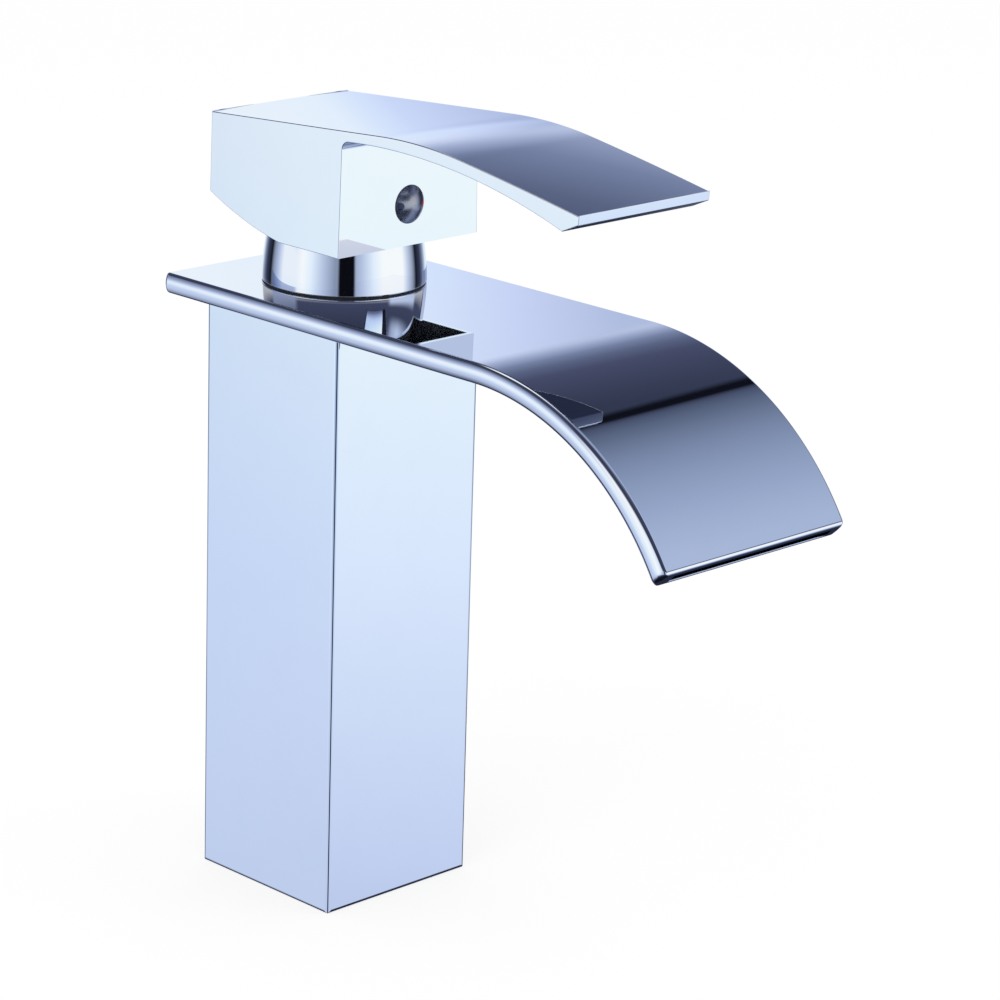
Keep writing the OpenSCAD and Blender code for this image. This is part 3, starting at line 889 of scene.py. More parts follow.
    def closing_plate(self) -> bpy.types.Object:
        """The thin plate that closes the channel from below, with the neck hole and the port.

        Returns:
            The finished plate.
        """
        plate = self.outside("closing_plate")
        half = self.width / 2 - self.side_wall + self.ledge - self.fit_gap
        rear = self.port_out_r + self.air_gap + self.ledge - self.fit_gap
        keep = self.layer("keep", half, self.thickness - self.closing_t, self.thickness + self.overrun, rear)
        combine(plate, keep, Operation.KEEP)
        combine(plate, self.post(self.neck_hole_r))
        start, end = -90 - self.port_half_angle, -90 + self.port_half_angle
        sector = np.concatenate([arc((0, 0), self.port_out_r, start, end, self.port_steps),
                                 arc((0, 0), self.port_in_r, end, start, self.port_steps)])
        low = self.top_z - self.thickness - self.post_overrun
        combine(plate, make_object("port", prism(sector, low, self.top_z)))
        finish_surface(plate)
        return plate

    def build(self, paint: "Paintbox") -> None:
        """Builds and dresses both plates."""
        settle(self.shell(), Body.FIXED, "chrome_spout", paint, "spout_top_plate")
        settle(self.closing_plate(), Body.FIXED, "chrome_spout", paint, "spout_bottom_plate")


@dataclass
class Dome:
    """The tapered round cover over the cartridge's nut."""

    foot_z: float = 146.3
    top_z: float = 163.0
    base_r: float = 19.2
    draw_in: float = 1.3
    taper_power: float = 1.6
    shoulder_start: float = 0.74
    neck_r: float = 16.05
    neck_top: float = 151.0
    hole_r: float = 11.2
    wall: float = 1.3
    edge_r: float = 0.25
    edge_steps: int = 5
    side_steps: int = 40
    ledge_room: float = 0.3
    segments: int = 160
    shoulder: tuple[tuple[float, float], ...] = (
        (0.74, 1.0), (0.84, 0.974), (0.905, 0.938), (0.955, 0.885), (0.985, 0.83), (1.0, 0.79))

    def side(self, share: Array) -> Array:
        """Radius at a share of the height: the base radius less a power of the share."""
        return self.base_r - self.draw_in * (share / self.shoulder_start) ** self.taper_power

    def profile(self) -> Array:
        """Closed ring of points round the dome's wall.

        The side goes up from the foot, the shoulder's stops are joined smoothly, and the
        inside runs back down at the wall's distance to the thread on the neck.

        Returns:
            The points (r, z).
        """
        height = self.top_z - self.foot_z
        share = np.linspace(0, self.shoulder_start, self.side_steps)[1:]
        side = np.column_stack([self.side(share), self.foot_z + height * share])
        stops = np.array(self.shoulder)
        spaced = np.linspace(0, 1, len(stops))
        fine = np.linspace(0, 1, self.side_steps + 1)
        bend = [smooth_through(spaced, stops[:, column], fine) for column in (0, 1)]
        mouth = self.base_r - self.draw_in
        cap = np.column_stack([mouth * bend[1], self.foot_z + height * bend[0]])[1:]
        foot = arc((self.base_r - self.edge_r, self.foot_z + self.edge_r), self.edge_r, -90, 0,
                   self.edge_steps)
        hole = arc((self.hole_r + self.edge_r, self.top_z - self.edge_r), self.edge_r, 90, 180,
                   self.edge_steps)
        inner_cap = (cap - [self.wall / 2, self.wall])[::-1]
        inner_side = (side - [self.wall, 0])[::-1]
        inner_side = inner_side[inner_side[:, 1] > self.neck_top]
        inner_cap = inner_cap[inner_cap[:, 1] > inner_side[0, 1] + self.ledge_room]
        ledge_r = inner_side[-1, 0]
        rest = np.array([[ledge_r, self.neck_top], [self.neck_r, self.neck_top], [self.neck_r, self.foot_z]])
        lip = np.array([[self.hole_r, self.top_z - self.wall]])
        return np.concatenate([foot, side, cap, hole, lip, inner_cap, inner_side, rest])

    def build(self, paint: Paintbox) -> None:
        """Builds and dresses the dome.

        Args:
            paint: the finishes.
        """
        piece = make_object("dome", turned(self.profile(), self.segments))
        finish_surface(piece)
        settle(piece, Body.FIXED, "chrome_dome", paint, "dome_cover")


def smooth_through(places: Array, values: Array, wanted: Array) -> Array:
    """Smooth curve through values: cubic pieces whose slopes are those between the neighbours.

    Args:
        places: rising places of the values.
        values: the values.
        wanted: the places to read.

    Returns:
        The curve's value at each wanted place.
    """
    slopes = np.gradient(values, places)
    left = np.clip(np.searchsorted(places, wanted, side="right") - 1, 0, len(places) - 2)
    span = places[left + 1] - places[left]
    u = (wanted - places[left]) / span
    start, end = values[left], values[left + 1]
    return ((2 * u**3 - 3 * u**2 + 1) * start + (u**3 - 2 * u**2 + u) * span * slopes[left]
            + (3 * u**2 - 2 * u**3) * end + (u**3 - u**2) * span * slopes[left + 1])


@dataclass
class Handle:
    """The handle block with its long curved lever, hollow under the block."""

    block_z: float = 158.0
    front_y: float = -21.4
    rear_y: float = 22.8
    rear_top_z: float = 184.5
    slope: float = 3.6
    curve_start_y: float = -33.0
    curve_r: float = 120.0
    fall_angle: float = 9.0
    fall_start: float = 8.5
    tip_drop: float = 0.3
    tip_lean: float = 0.15
    tip_y: float = -94.2
    tip_face: float = 2.15
    bevel_back: float = 4.8
    under_front: float = 36.5
    root_t: float = 2.95
    under_r: float = 167.0
    fillet_r: float = 2.2
    rise_start: float = -1.5
    rise: float = 7.8
    rise_r: float = 95.0
    half: float = 21.7
    draft: float = 0.7
    tip_half: float = 20.3
    cavity_half: float = 18.25
    cavity_front: float = -19.0
    cavity_rear: float = 20.4
    ceiling: float = 3.2
    edge_r: float = 0.2
    corner_r: float = 0.2
    mouth_z: float = 164.5
    mouth_rim: float = 1.0
    crown: float = 0.25
    crown_from: float = 0.9
    crown_blend: float = 0.06
    draft_height: float = 31.24
    taper_power: float = 1.25
    ahead_y: float = -24.0
    behind_y: float = -12.0
    under_steps: int = 60
    fillet_steps: int = 12
    front_steps: int = 5
    flat_steps: int = 4
    rise_steps: int = 39
    corner_steps: int = 6
    across_steps: int = 10
    side_rows: int = 5
    boss_half: float = 7.0
    boss_front_y: float = -8.0
    boss_front_z: float = 163.9
    boss_rear_z: float = 168.3
    boss_sink: float = 1.6
    socket_half: float = 3.55
    socket_z: tuple[float, float] = (160.0, 179.15)
    screw_z: float = 167.6
    screw_r: float = 2.5
    screw_y: tuple[float, float] = (-9.0, 0.0)
    access_r: float = 2.75
    access_y: tuple[float, float] = (-23.0, -18.0)
    overrun: float = 1.0
    mouth_overrun: float = 0.5
    face_room: float = 0.02

    def curves(self) -> dict[str, float]:
        """Centres and joints of the lever's circles, worked out as the source does.

        Returns:
            The places by name, in millimetres.
        """
        slope, fall = math.radians(self.slope), math.radians(self.fall_angle)
        start_z = self.rear_top_z + (self.rear_y - self.curve_start_y) * math.tan(slope)
        crest_y = self.curve_start_y - self.curve_r * math.sin(slope)
        crest_z = start_z + self.curve_r * (1 - math.cos(slope))
        curve_z = crest_z - self.curve_r
        line_y = crest_y - self.curve_r * math.sin(fall)
        line_z = curve_z + self.curve_r * math.cos(fall)
        tip_z = line_z - (line_y - self.tip_y) * math.tan(fall) - self.tip_drop
        bowed = math.radians(self.fall_start)
        fall_y = crest_y - self.curve_r * math.sin(bowed)
        fall_z = curve_z + self.curve_r * math.cos(bowed)
        under_z = crest_z - self.root_t - self.under_r
        fillet_y = self.front_y - self.fillet_r
        reach = self.under_r - self.fillet_r
        fillet_z = under_z + math.sqrt(reach**2 - (fillet_y + self.under_front) ** 2)
        return {"start_z": start_z, "crest_y": crest_y, "curve_z": curve_z,
                "fall_y": fall_y, "fall_z": fall_z, "tip_z": tip_z, "under_z": under_z,
                "fillet_y": fillet_y, "fillet_z": fillet_z}

    def top_z(self, y: Array) -> Array:
        """Height of the top: a slope, then a circle, then a slightly bowed fall (a parabola).

        Args:
            y: places along the handle.

        Returns:
            The heights.
        """
        c = self.curves()
        slope = c["start_z"] - (y - self.curve_start_y) * math.tan(math.radians(self.slope))
        bow = c["curve_z"] + np.sqrt(np.maximum(self.curve_r**2 - (y - c["crest_y"]) ** 2, 0))
        run = np.clip(c["fall_y"] - y, 0, None)
        tip_run = c["fall_y"] - self.tip_y
        steep = math.tan(math.radians(self.fall_start))
        bowed = c["fall_z"] - c["tip_z"] - tip_run * steep
        fall = c["fall_z"] - run * steep - bowed * (run / tip_run) ** 2
        return np.where(y > self.curve_start_y, slope, np.where(y > c["fall_y"], bow, fall))

    def under_z(self, y: Array) -> Array:
        """Height of the lever's underside at y: the upper part of a large circle."""
        return self.curves()["under_z"] + np.sqrt(self.under_r**2 - (y + self.under_front) ** 2)

    def rise_z(self, y: Array) -> Array:
        """Height of the block's underside: flat, then bowed up to the back on a circle.

        Args:
            y: places along the block.

        Returns:
            The heights.
        """
        run, rise = self.rear_y - self.rise_start, self.rise
        chord, turn = math.hypot(run, rise), math.atan2(rise, run)
        depth = math.sqrt(self.rise_r**2 - chord**2 / 4)
        middle_y = (self.rear_y + self.rise_start) / 2 - depth * math.sin(turn)
        middle_z = self.block_z + rise / 2 + depth * math.cos(turn)
        bowed = middle_z - np.sqrt(self.rise_r**2 - (y - middle_y) ** 2)
        return np.where(y > self.rise_start, bowed, self.block_z)

    def half_width(self, y: Array, z: Array) -> Array:
        """Half width: the block's, less the draft upwards and the taper to the tip.

        Args:
            y: places along the handle.
            z: heights.

        Returns:
            The half widths.
        """
        draft = self.draft / self.draft_height
        at_tip = self.half - draft * (self.curves()["tip_z"] - self.block_z) - self.tip_half
        forward = np.clip((self.front_y - y) / (self.front_y - self.tip_y), 0, 1)
        return self.half - draft * (z - self.block_z) - at_tip * forward**self.taper_power

    def inner_z(self, y: float) -> float:
        """Height of the hollow's ceiling at y, which keeps to the top's slope."""
        return self.rear_top_z + (self.rear_y - y) * math.tan(math.radians(self.slope)) - self.ceiling

    def outline(self) -> tuple[Array, int]:
        """Side view as a closed ring of points (y, z), upper run first, then the lower run.

        Both runs have the same number of points, so that the sides can be ruled between them.

        Returns:
            The ring and the number of points in each run.
        """
        c = self.curves()
        reach = self.under_r / (self.under_r - self.fillet_r)
        start_y = -self.under_front + (c["fillet_y"] + self.under_front) * reach
        under_y = np.linspace(self.tip_y + self.bevel_back, start_y, self.under_steps)
        turn = math.degrees(math.atan2(c["under_z"] - c["fillet_z"], -self.under_front - c["fillet_y"]))
        fillet = arc((c["fillet_y"], c["fillet_z"]), self.fillet_r, turn + 180 if turn < 0 else turn, 0,
                     self.fillet_steps)
        front_z = np.linspace(c["fillet_z"], self.block_z, self.front_steps + 1)[1:]
        flat_y = np.linspace(self.front_y, self.rise_start, self.flat_steps + 1)[1:]
        rise_y = np.linspace(self.rise_start, self.rear_y, self.rise_steps + 1)[1:]
        lower = np.concatenate([
            [[self.tip_y + self.tip_lean, c["tip_z"] - self.tip_face]],
            np.column_stack([under_y, self.under_z(under_y)]),
            fillet[1:],
            np.column_stack([np.full(self.front_steps, self.front_y), front_z]),
            np.column_stack([flat_y, self.rise_z(flat_y)]),
            np.column_stack([rise_y, self.rise_z(rise_y)])])
        marks = [self.tip_y, self.ahead_y, self.front_y, self.behind_y, self.rise_start, self.rear_y]
        counts = [self.under_steps, self.fillet_steps, self.front_steps, self.flat_steps, self.rise_steps]
        upper_y = np.concatenate([marks[:1]] + [np.linspace(a, b, n + 1)[1:]
                                               for a, b, n in zip(marks[:-1], marks[1:], counts)])
        upper = np.column_stack([upper_y, self.top_z(upper_y)])
        corner = self.corner_r, self.corner_steps
        upper = round_end(round_end(upper, lower[0], *corner)[::-1], lower[-1], *corner)[::-1]
        lower = round_end(lower, np.array([self.tip_y, c["tip_z"]]), *corner)[::-1]
        lower = round_end(lower, np.array([self.rear_y, self.rear_top_z]), *corner)
        return np.concatenate([upper, lower]), len(upper)

    def shape(self) -> Shape:
        """Outside of the handle.

        Each station of the outline carries a section across x: a quarter circle from the
        side onto the rim, the rim itself, and a quarter circle onto the other side. The
        sides are ruled between the upper and the lower run.

        Returns:
            The points and the faces.
        """
        ring, run = self.outline()
        ahead, behind = np.roll(ring, -1, axis=0), np.roll(ring, 1, axis=0)
        along = ahead - behind
        along /= np.linalg.norm(along, axis=1)[:, None]
        outward = np.column_stack([along[:, 1], -along[:, 0]])
        if ((ring[run // 2] - ring[-run // 2]) @ outward[run // 2]) < 0:
            outward = -outward
        turn = np.radians(np.linspace(0, 90, self.corner_steps + 1))
        inset = self.edge_r * (1 - np.sin(turn))
        back = self.edge_r * (1 - np.cos(turn))
        rows = []
        for sign, insets, backs in ((-1, inset, back), (1, inset[::-1], back[::-1])):
            place = ring[None] - outward[None] * insets[:, None, None]
            x = sign * (self.half_width(place[..., 0], place[..., 1]) - backs[:, None])
            rows.append(np.concatenate([x[..., None], place], axis=-1))
        rim = np.linspace(rows[0][-1], rows[1][0], self.across_steps + 1)[1:-1]
        across = np.concatenate([rows[0], rim, rows[1]])
        facing_up = np.clip((outward[:, 1] - self.crown_from) / self.crown_blend, 0, 1)
        across[..., 2] -= self.crown * facing_up * (across[..., 0] / self.half) ** 2
        count, size = across.shape[:2]
        points = [across.reshape(-1, 3)]
        faces = grid_quads(count, size).tolist()
        start = count * size
        for edge in (0, count - 1):
            border = across[edge]
            upper, lower = border[:run], border[run:][::-1]
            share = np.linspace(0, 1, self.side_rows + 2)[1:-1, None, None]
            inner = upper[None] * (1 - share) + lower[None] * share
            inner[..., 0] = np.sign(border[0, 0]) * self.half_width(inner[..., 1], inner[..., 2])
            points.append(inner.reshape(-1, 3))
            upper_ids = edge * size + np.arange(run)
            lower_ids = edge * size + size - 1 - np.arange(run)
            inner_ids = start + np.arange(self.side_rows * run).reshape(self.side_rows, run)
            table = np.concatenate([upper_ids[None], inner_ids, lower_ids[None]])
            quads = np.stack([table[:-1, :-1], table[:-1, 1:], table[1:, 1:], table[1:, :-1]], axis=-1)
            faces += quads.reshape(-1, 4).tolist()
            start += self.side_rows * run
        return np.concatenate(points), faces

    def build(self, paint: Paintbox) -> None:
        """Builds and dresses the handle with its hollow, its socket and its screw holes.

        Args:
            paint: the finishes.
        """
        piece = make_object("handle", self.shape())
        low, rear, front = self.block_z - self.overrun, self.cavity_rear, self.cavity_front
        hollow = np.array([[rear, low], [rear, self.inner_z(rear)],
                           [front, self.inner_z(front)], [front, low]])
        combine(piece, make_object("hollow", prism(hollow, -self.cavity_half, self.cavity_half, Axis.X)))
        combine(piece, self.mouth())
        half, ahead, sink = self.boss_half, self.boss_front_y, self.boss_sink
        boss = np.array([[ahead, self.boss_front_z], [half, self.boss_rear_z],
                         [half, self.inner_z(half) + sink], [ahead, self.inner_z(ahead) + sink]])
        combine(piece, make_object("boss", prism(boss, -half, half, Axis.X)), Operation.JOIN)
        square = self.socket_half * np.array([[-1, -1], [1, -1], [1, 1], [-1, 1]])
        combine(piece, make_object("socket", prism(square, *self.socket_z)))
        for radius, reach in ((self.screw_r, self.screw_y), (self.access_r, self.access_y)):
            bore = prism(circle(radius, SMALL_STEPS, 0, self.screw_z), *reach, Axis.Y)
            combine(piece, make_object("bore", bore))
        finish_surface(piece)
        settle(piece, Body.LEVER, "chrome_handle", paint, "lever_handle")
        self.dress_hollow_in_painted_shade(piece, paint.get("raw_casting"))

    def mouth(self) -> bpy.types.Object:
        """The draft at the hollow's mouth, where the walls thin out to a narrow rim.

        Returns:
            The tool, whose lower ring follows the block's outside and whose upper the hollow.
        """
        rim = self.mouth_rim
        rings = []
        for z, half, front, rear in (
                (self.block_z - self.mouth_overrun, self.half - rim, self.front_y + rim, self.rear_y - rim),
                (self.mouth_z, self.cavity_half, self.cavity_front, self.cavity_rear)):
            rings.append([[-half, front, z], [half, front, z], [half, rear, z], [-half, rear, z]])
        return make_object("mouth", lofted(np.array(rings)))

    def dress_hollow_in_painted_shade(self, piece: bpy.types.Object, casting_in_painted_shade: bpy.types.Material) -> None:
        """Gives the faces inside the hollow the bare casting's finish, made near black as painted shade for
        the hollow.

        Args:
            piece: the handle.
            casting_in_painted_shade: the casting's finish, whose near-black colour is painted shade for the
                hollow.
        """
        # The hollow's faces get the near-black finish, which paints the shade inside the hollow
        piece.data.materials.append(casting_in_painted_shade)
        count = len(piece.data.polygons)
        centres = np.empty(count * 3)
        piece.data.polygons.foreach_get("center", centres)
        x, y, z = centres.reshape(-1, 3).T / MM
        room = self.face_room
        inside = ((np.abs(x) < self.half - self.mouth_rim) & (y > self.front_y + self.mouth_rim)
                  & (y < self.cavity_rear + room) & (z > self.rise_z(y) + room)
                  & (z < self.top_z(y) - self.ceiling + room))
        piece.data.polygons.foreach_set("material_index", inside.astype(np.int32))
        log.info("%s: %d faces of bare casting", piece.name, int(inside.sum()))


# Points within the first share of a rounded corner's reach are spread out again evenly, up to
# the second share of it at least
CLOSE_SHARE = 2.5
SPREAD_SHARE = 1.5


def round_end(run: Array, corner_to: Array, radius: float, steps: int) -> Array:
    """Rounds the first point of a run, where it meets a straight edge that leads elsewhere.

    The arc replaces the first point, and the points within its reach are dropped and spread
    out again evenly, so that the number of points stays the same plus the arc's steps.

    Args:
        run: points from the corner on.
        corner_to: the far end of the other edge at the corner.
        radius: radius of the rounding.
        steps: steps of the arc.

    Returns:
        The run with the arc in front.
    """
    corner = run[0]
    along = run[1] - corner
    along = along / np.linalg.norm(along)
    other = corner_to - corner
    other = other / np.linalg.norm(other)
    half = math.acos(float(np.clip(along @ other, -1, 1))) / 2
    reach = radius / math.tan(half)
    middle = corner + (along + other) / np.linalg.norm(along + other) * radius / math.sin(half)
    first, last = corner + other * reach, corner + along * reach
    a0 = math.atan2(*(first - middle)[::-1])
    a1 = math.atan2(*(last - middle)[::-1])
    a1 = a0 + (a1 - a0 + math.pi) % (2 * math.pi) - math.pi
    bend = arc(tuple(middle), radius, math.degrees(a0), math.degrees(a1), steps)
    length = np.concatenate([[0], np.cumsum(np.linalg.norm(np.diff(run, axis=0), axis=1))])
    kept = run[1:].copy()
    near = length[1:] < CLOSE_SHARE * reach
    last_near = length[1:][near][-1] if near.any() else 0
    fresh = np.linspace(reach, max(last_near, SPREAD_SHARE * reach), near.sum() + 1)[1:]
    for column in (0, 1):
        kept[near, column] = np.interp(fresh, length, run[:, column])
    return np.concatenate([bend, kept])


@dataclass
class Button:
    """The convex plug on the handle's front, with a red and a blue mark."""

    radius: float = 4.5
    proud: float = 1.75
    stalk_r: float = 2.7
    stalk: float = 2.4
    front_y: float = -21.4
    centre_z: float = 167.6
    mark_r: float = 0.9
    mark_side: float = 3.55
    mark_floor: float = 0.35
    pin_overrun: float = 1.0
    pole_r: float = 0.02
    cap_end: float = 89.2
    cap_steps: int = 30
    crease: float = 20.0

    def on_front(self, points: Array) -> Array:
        """Turns points that stand on z = 0 so that they stand on the block's front face."""
        return np.column_stack([points[:, 0], self.front_y - points[:, 2], self.centre_z + points[:, 1]])

    def build(self, paint: Paintbox) -> None:
        """Builds and dresses the button: a cap of a ball on a stalk, with two round pockets.

        Args:
            paint: the finishes.
        """
        ball = (self.radius**2 + self.proud**2) / (2 * self.proud)
        widest = math.degrees(math.asin(self.radius / ball))
        cap = arc((0, self.proud - ball), ball, 90 - widest, self.cap_end, self.cap_steps)
        stalk = [[self.pole_r, -self.stalk], [self.stalk_r, -self.stalk]]
        profile = np.concatenate([[[self.stalk_r, 0.0]], cap, stalk])
        points, faces = turned(profile, LARGE_STEPS)
        piece = make_object("button", (self.on_front(points), faces))
        for side in (-1, 1):
            mark = circle(self.mark_r, SMALL_STEPS, side * self.mark_side)
            places, sides = prism(mark, self.mark_floor, self.proud + self.pin_overrun)
            combine(piece, make_object("pin", (self.on_front(places), sides)))
        finish_surface(piece, self.crease)
        settle(piece, Body.LEVER, "chrome_button", paint, "index_button")


@dataclass
class CarriedOver:
    """The CAD nodes that keep their own shape and only get a finish."""

    replaced: tuple[str, ...] = (
        "spout_top_plate", "spout_bottom_plate", "dome_cover", "lever_handle", "index_button")

    def build(self, paint: Paintbox) -> None:
        """Dresses each node by the record's material slots.

        Args:
            paint: the finishes.
        """
        for row in frame["record"]["subparts"]:
            node, slot = row["node"], row["material_slot"]
            if node in self.replaced:
                continue
            piece = frame["nodes"][node]
            piece.data.materials.clear()
            piece.data.materials.append(paint.get(slot))
            log.info("%s: kept, dressed as %s", node, slot)


# Studio


def placed(right: Array, up: Array, back: Array, place: Array) -> Matrix:
    """Matrix of something that looks against its back direction, at a place in metres."""
    rows = np.column_stack([right, up, back, place])
    return Matrix([*rows.tolist(), [0, 0, 0, 1]])


@dataclass
class Camera:
    """The camera, at the photograph's angle."""

    azimuth: float = -45.14
    elevation: float = 17.02
    roll: float = 1.76
    focal_px: float = 3841.85
    frame_px: float = 1000.0
    sensor_mm: float = 36.0
    distance: float = 906.67
    aim_right: float = 37.73
    aim_z: float = 92.37
    clip_m: tuple[float, float] = (0.01, 100.0)

    def axes(self) -> tuple[Array, Array, Array]:
        """Directions of the camera, turned by its roll.

        Returns:
            Its right, up and back.
        """
        a, e, r = np.radians([self.azimuth, self.elevation, self.roll])
        back = np.array([np.sin(a) * np.cos(e), -np.cos(a) * np.cos(e), np.sin(e)])
        right = np.cross(-back, [0, 0, 1])
        right /= np.linalg.norm(right)
        up = np.cross(right, -back)
        return np.cos(r) * right + np.sin(r) * up, -np.sin(r) * right + np.cos(r) * up, back

    def build(self) -> None:
        """Places the camera."""
        right, up, back = self.axes()
        target = self.aim_right * right + np.array([0, 0, self.aim_z])
        place = (target + self.distance * back) * MM
        data = bpy.data.cameras.new("camera")
        data.sensor_width = self.sensor_mm
        data.lens = self.focal_px / self.frame_px * self.sensor_mm
        data.clip_start, data.clip_end = self.clip_m
        camera = bpy.data.objects.new("camera", data)
        camera.matrix_world = placed(right, up, back, place)
        bpy.context.scene.collection.objects.link(camera)
        bpy.context.scene.camera = camera
        log.info("camera: lens %.2f mm, %.0f mm away", data.lens, self.distance)


# Display colours of the room, by degrees up or by degrees to the camera's right
TABLE: Stops = (
    (-62, (16, 18, 28)), (-46, (30, 34, 50)), (-38, (60, 68, 92)), (-31, (112, 122, 152)),
    (-26, (164, 178, 210)), (-22.5, (198, 212, 242)), (-18, (222, 236, 255)), (-13, (240, 252, 255)),
    (-6, (252, 255, 255)))
LEFT_TABLE: Stops = (
    (-56, (16, 18, 28)), (-45, (70, 76, 100)), (-39, (140, 152, 180)), (-32, (180, 192, 220)),
    (-22.5, (198, 212, 240)), (-18, (216, 230, 252)), (-13, (240, 252, 255)), (-6, (252, 255, 255)))
TABLE_ROUND: Stops = (
    (0, (246, 250, 255)), (21, (236, 240, 248)), (29, (172, 180, 204)), (38, (104, 112, 138)),
    (46, (54, 60, 82)), (59, (20, 24, 36)), (66, (140, 150, 172)), (78, (202, 212, 234)),
    (88, (255, 255, 255)), (122, (255, 255, 255)), (136, (232, 242, 255)), (152, (190, 202, 228)),
    (170, (138, 150, 176)))
CEILING: Stops = (
    (0, (252, 255, 255)), (12, (250, 252, 255)), (18, (66, 72, 98)), (28, (50, 56, 76)),
    (55, (62, 68, 92)), (75, (140, 152, 182)))
BACK_WALL: Stops = (
    (14, (204, 216, 244)), (17, (188, 200, 228)), (20, (160, 172, 204)), (23.5, (120, 132, 164)),
    (27, (92, 102, 132)), (31, (72, 78, 106)), (42, (52, 58, 80)))
BACK_WALL_FOOT: Stops = (
    (-7, (252, 255, 255)), (-3.2, (240, 248, 255)), (-1, (220, 232, 254)), (0.2, (206, 216, 246)),
    (1.8, (180, 192, 224)), (6, (166, 178, 208)))
RIGHT_PANEL: Stops = (
    (33, (60, 68, 92)), (38, (88, 100, 126)), (50, (120, 134, 164)), (70, (152, 168, 200)),
    (90, (186, 200, 230)), (110, (120, 130, 160)))
LEFT_WALL: Stops = (
    (0, (240, 248, 255)), (8, (196, 208, 234)), (15, (150, 160, 188)), (20, (112, 122, 148)),
    (26, (50, 56, 76)))


@dataclass
class Studio:
    """White room with a dark ceiling at the back and soft light panels at the sides.

    The pairs of numbers in its methods are angles in degrees: a window rises over the first
    pair and falls over the second.
    """

    heading: float = 44.86
    card_side: float = 174.0
    floor_half_m: float = 20.0
    floor_mm: float = -0.05
    floor_grey: float = 0.95
    floor_white_share: float = 0.8
    floor_roughness: float = 0.9
    floor_shine: float = 0.1

    def surroundings(self, graph: Graph) -> bpy.types.NodeSocket:
        """What a mirror sees, by the angle up and the angle to the camera's right.

        Below the horizon the white table falls off to a dark foreground, with dark and pale
        stripes from side to side. A dark card stands behind the camera.

        Args:
            graph: the world's graph.

        Returns:
            The room's colour.
        """
        turn = graph.node("VectorRotate", rotation_type="Z_AXIS")
        graph.feed(turn.inputs["Vector"], graph.node("TexCoord").outputs["Generated"])
        turn.inputs["Angle"].default_value = math.radians(90 - self.heading)
        split = graph.node("SeparateXYZ")
        graph.feed(split.inputs[0], turn.outputs[0])
        x, y, z = split.outputs
        up = graph.math("DEGREES", graph.math("ARCSINE", z))
        side = graph.math("DEGREES", graph.math("ARCTAN2", x, y))
        left = graph.window(side, (-125, -112), (-62, -50))
        table = graph.mix(left, graph.ramp(up, TABLE), graph.ramp(up, LEFT_TABLE))
        colour = graph.mix(graph.share(up, 1, -1), self.ceiling(graph, up, side), table)
        beyond = graph.product(graph.share(graph.math("ABSOLUTE", side), 64, 50), graph.share(up, -17, -21))
        colour = graph.mix(beyond, colour, linear(38, 44, 64))
        level = graph.window(up, (-25, -13), (12, 16))
        colour = graph.mix(level, colour, self.table_round(graph, side), "MULTIPLY")
        off_card = graph.math("ABSOLUTE", graph.math(
            "WRAP", graph.math("SUBTRACT", side, self.card_side), 180, -180))
        card = graph.product(graph.share(off_card, 13.5, 9), graph.window(up, (-34, -28), (12, 16)))
        return graph.mix(card, colour, linear(12, 12, 20))

    @staticmethod
    def table_round(graph: Graph, side: bpy.types.NodeSocket) -> bpy.types.NodeSocket:
        """Dark cards at both sides of the table, and its dimmer parts in front and at the left.

        Args:
            graph: the world's graph.
            side: the angle to the camera's right.

        Returns:
            The colour that the table is dimmed by.
        """
        cards = graph.ramp(graph.math("ABSOLUTE", side), TABLE_ROUND)
        left = graph.window(side, (-126, -110), (-74, -60))
        return graph.mix(left, cards, linear(240, 244, 252), "MULTIPLY")

    @staticmethod
    def ceiling(graph: Graph, up: bpy.types.NodeSocket, side: bpy.types.NodeSocket) -> bpy.types.NodeSocket:
        """The pale wall behind the faucet, the side walls, the softboxes and the dark ceiling.

        Args:
            graph: the world's graph.
            up: the angle up.
            side: the angle to the camera's right.

        Returns:
            The colour of what stands above the horizon.
        """
        shift = graph.product(graph.share(up, 12, 8), graph.share(side, -4, -2.2))
        foot = graph.ramp(graph.math("MULTIPLY_ADD", shift, 2.0, side), BACK_WALL_FOOT)
        wall = graph.mix(graph.share(up, 20, 13), graph.ramp(up, BACK_WALL), foot)
        wall = graph.mix(graph.share(up, 3, 0), wall, linear(250, 254, 255))
        fields = (
            (graph.window(side, (-30, -22), (31, 33)), wall),
            (graph.product(graph.window(side, (-116, -108), (-68, -60)), graph.share(up, 34, 28)),
             graph.ramp(up, LEFT_WALL)),
            (graph.product(graph.window(side, (56, 64), (106, 114)), graph.window(up, (12, 15), (17, 20))),
             linear(190, 202, 230)),
            (graph.product(graph.window(side, (33, 35), (100, 112)), graph.share(up, 22, 26)),
             graph.ramp(side, RIGHT_PANEL)),
            (graph.product(graph.window(side, (-88, -74), (-30, -22)), graph.share(up, 48, 54)),
             linear(246, 250, 255)),
            (graph.product(graph.window(side, (28, 31), (32.5, 34)), graph.share(up, 13, 17), 0.95),
             linear(10, 12, 20)))
        colour = graph.ramp(up, CEILING)
        for share, tone in fields:
            colour = graph.mix(share, colour, tone)
        return colour

    def world(self) -> None:
        """Sets the world: white for the camera, plain light for matt parts, the room for mirrors."""
        world = bpy.data.worlds.new("studio")
        bpy.context.scene.world = world
        world.use_nodes = True
        world.node_tree.nodes.clear()
        graph = Graph(world.node_tree)
        path = graph.node("LightPath")
        room = self.surroundings(graph)
        colour = graph.mix(path.outputs["Is Glossy Ray"], linear(250, 250, 250), room)
        colour = graph.mix(path.outputs["Is Camera Ray"], colour, (1.0, 1.0, 1.0))
        background = graph.node("Background")
        graph.feed(background.inputs["Color"], colour)
        background.inputs["Strength"].default_value = 1.0
        graph.feed(graph.node("OutputWorld").inputs["Surface"], background.outputs[0])

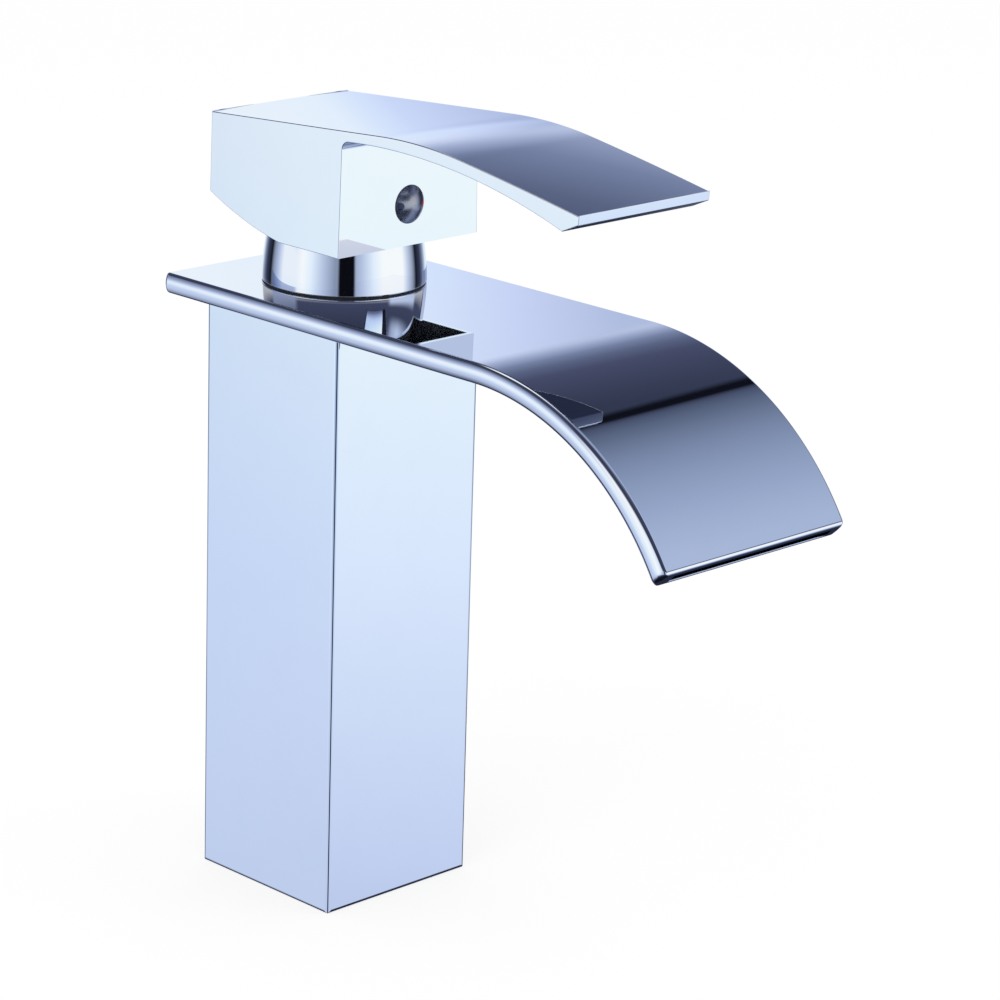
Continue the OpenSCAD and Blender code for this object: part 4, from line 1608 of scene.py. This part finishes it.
    def floor(self) -> None:
        """Lays the pale floor, which keeps the object's shadow and which mirrors don't see."""
        half = self.floor_half_m / MM
        corners = np.array([[-half, -half], [half, -half], [half, half], [-half, half]])
        floor = make_object("floor", (np.insert(corners, 2, self.floor_mm, axis=1), [[0, 1, 2, 3]]))
        if floor.data.polygons[0].normal.z < 0:
            floor.data.flip_normals()
        material, graph, shader = start_material("floor")
        graph.feed(shader.inputs["Base Color"], (self.floor_grey,) * 3)
        shader.inputs["Roughness"].default_value = self.floor_roughness
        shader.inputs["Specular IOR Level"].default_value = self.floor_shine
        path = graph.node("LightPath")
        white = graph.node("Emission")
        graph.feed(white.inputs["Color"], (1.0, 1.0, 1.0))
        seen = graph.node("MixShader")
        graph.feed(seen.inputs[0], graph.product(path.outputs["Is Camera Ray"], self.floor_white_share))
        graph.feed(seen.inputs[1], shader.outputs[0])
        graph.feed(seen.inputs[2], white.outputs[0])
        output = next(n for n in graph.tree.nodes if n.type == "OUTPUT_MATERIAL")
        graph.feed(output.inputs["Surface"], seen.outputs[0])
        floor.visible_glossy = False
        floor.data.materials.append(material)

    def lamp(self, name: str, place: tuple[float, float, float], size: float, power: float) -> None:
        """Hangs a square area lamp that faces the object and that mirrors don't see.

        Args:
            name: name of the lamp.
            place: its place in metres.
            size: its side in metres.
            power: its power in watts.
        """
        data = bpy.data.lights.new(name, "AREA")
        data.size = size
        data.energy = power
        lamp = bpy.data.objects.new(name, data)
        back = np.array(place) / np.linalg.norm(place)
        right = np.cross([0, 0, 1], back)
        right /= np.linalg.norm(right)
        lamp.matrix_world = placed(right, np.cross(back, right), back, np.array(place))
        lamp.visible_glossy = False
        bpy.context.scene.collection.objects.link(lamp)

    def build(self) -> None:
        """Builds the whole studio."""
        self.world()
        self.floor()
        self.lamp("left_lamp", (-1.3, -0.4, 1.2), size=1.2, power=9.0)
        self.lamp("right_lamp", (0.9, -1.4, 1.0), size=1.2, power=6.0)
        bpy.context.scene.view_settings.view_transform = "Standard"
        log.info("studio: world, floor and two lamps")


def main() -> None:
    """Builds the camera, the studio and every sub-assembly."""
    logging.basicConfig(level=logging.INFO, format="%(name)s %(message)s")
    Camera().build()
    Studio().build()
    paint = Paintbox()
    CarriedOver().build(paint)
    for assembly in (Spout(), Dome(), Handle(), Button()):
        assembly.build(paint)


if __name__ == "__main__":
    main()
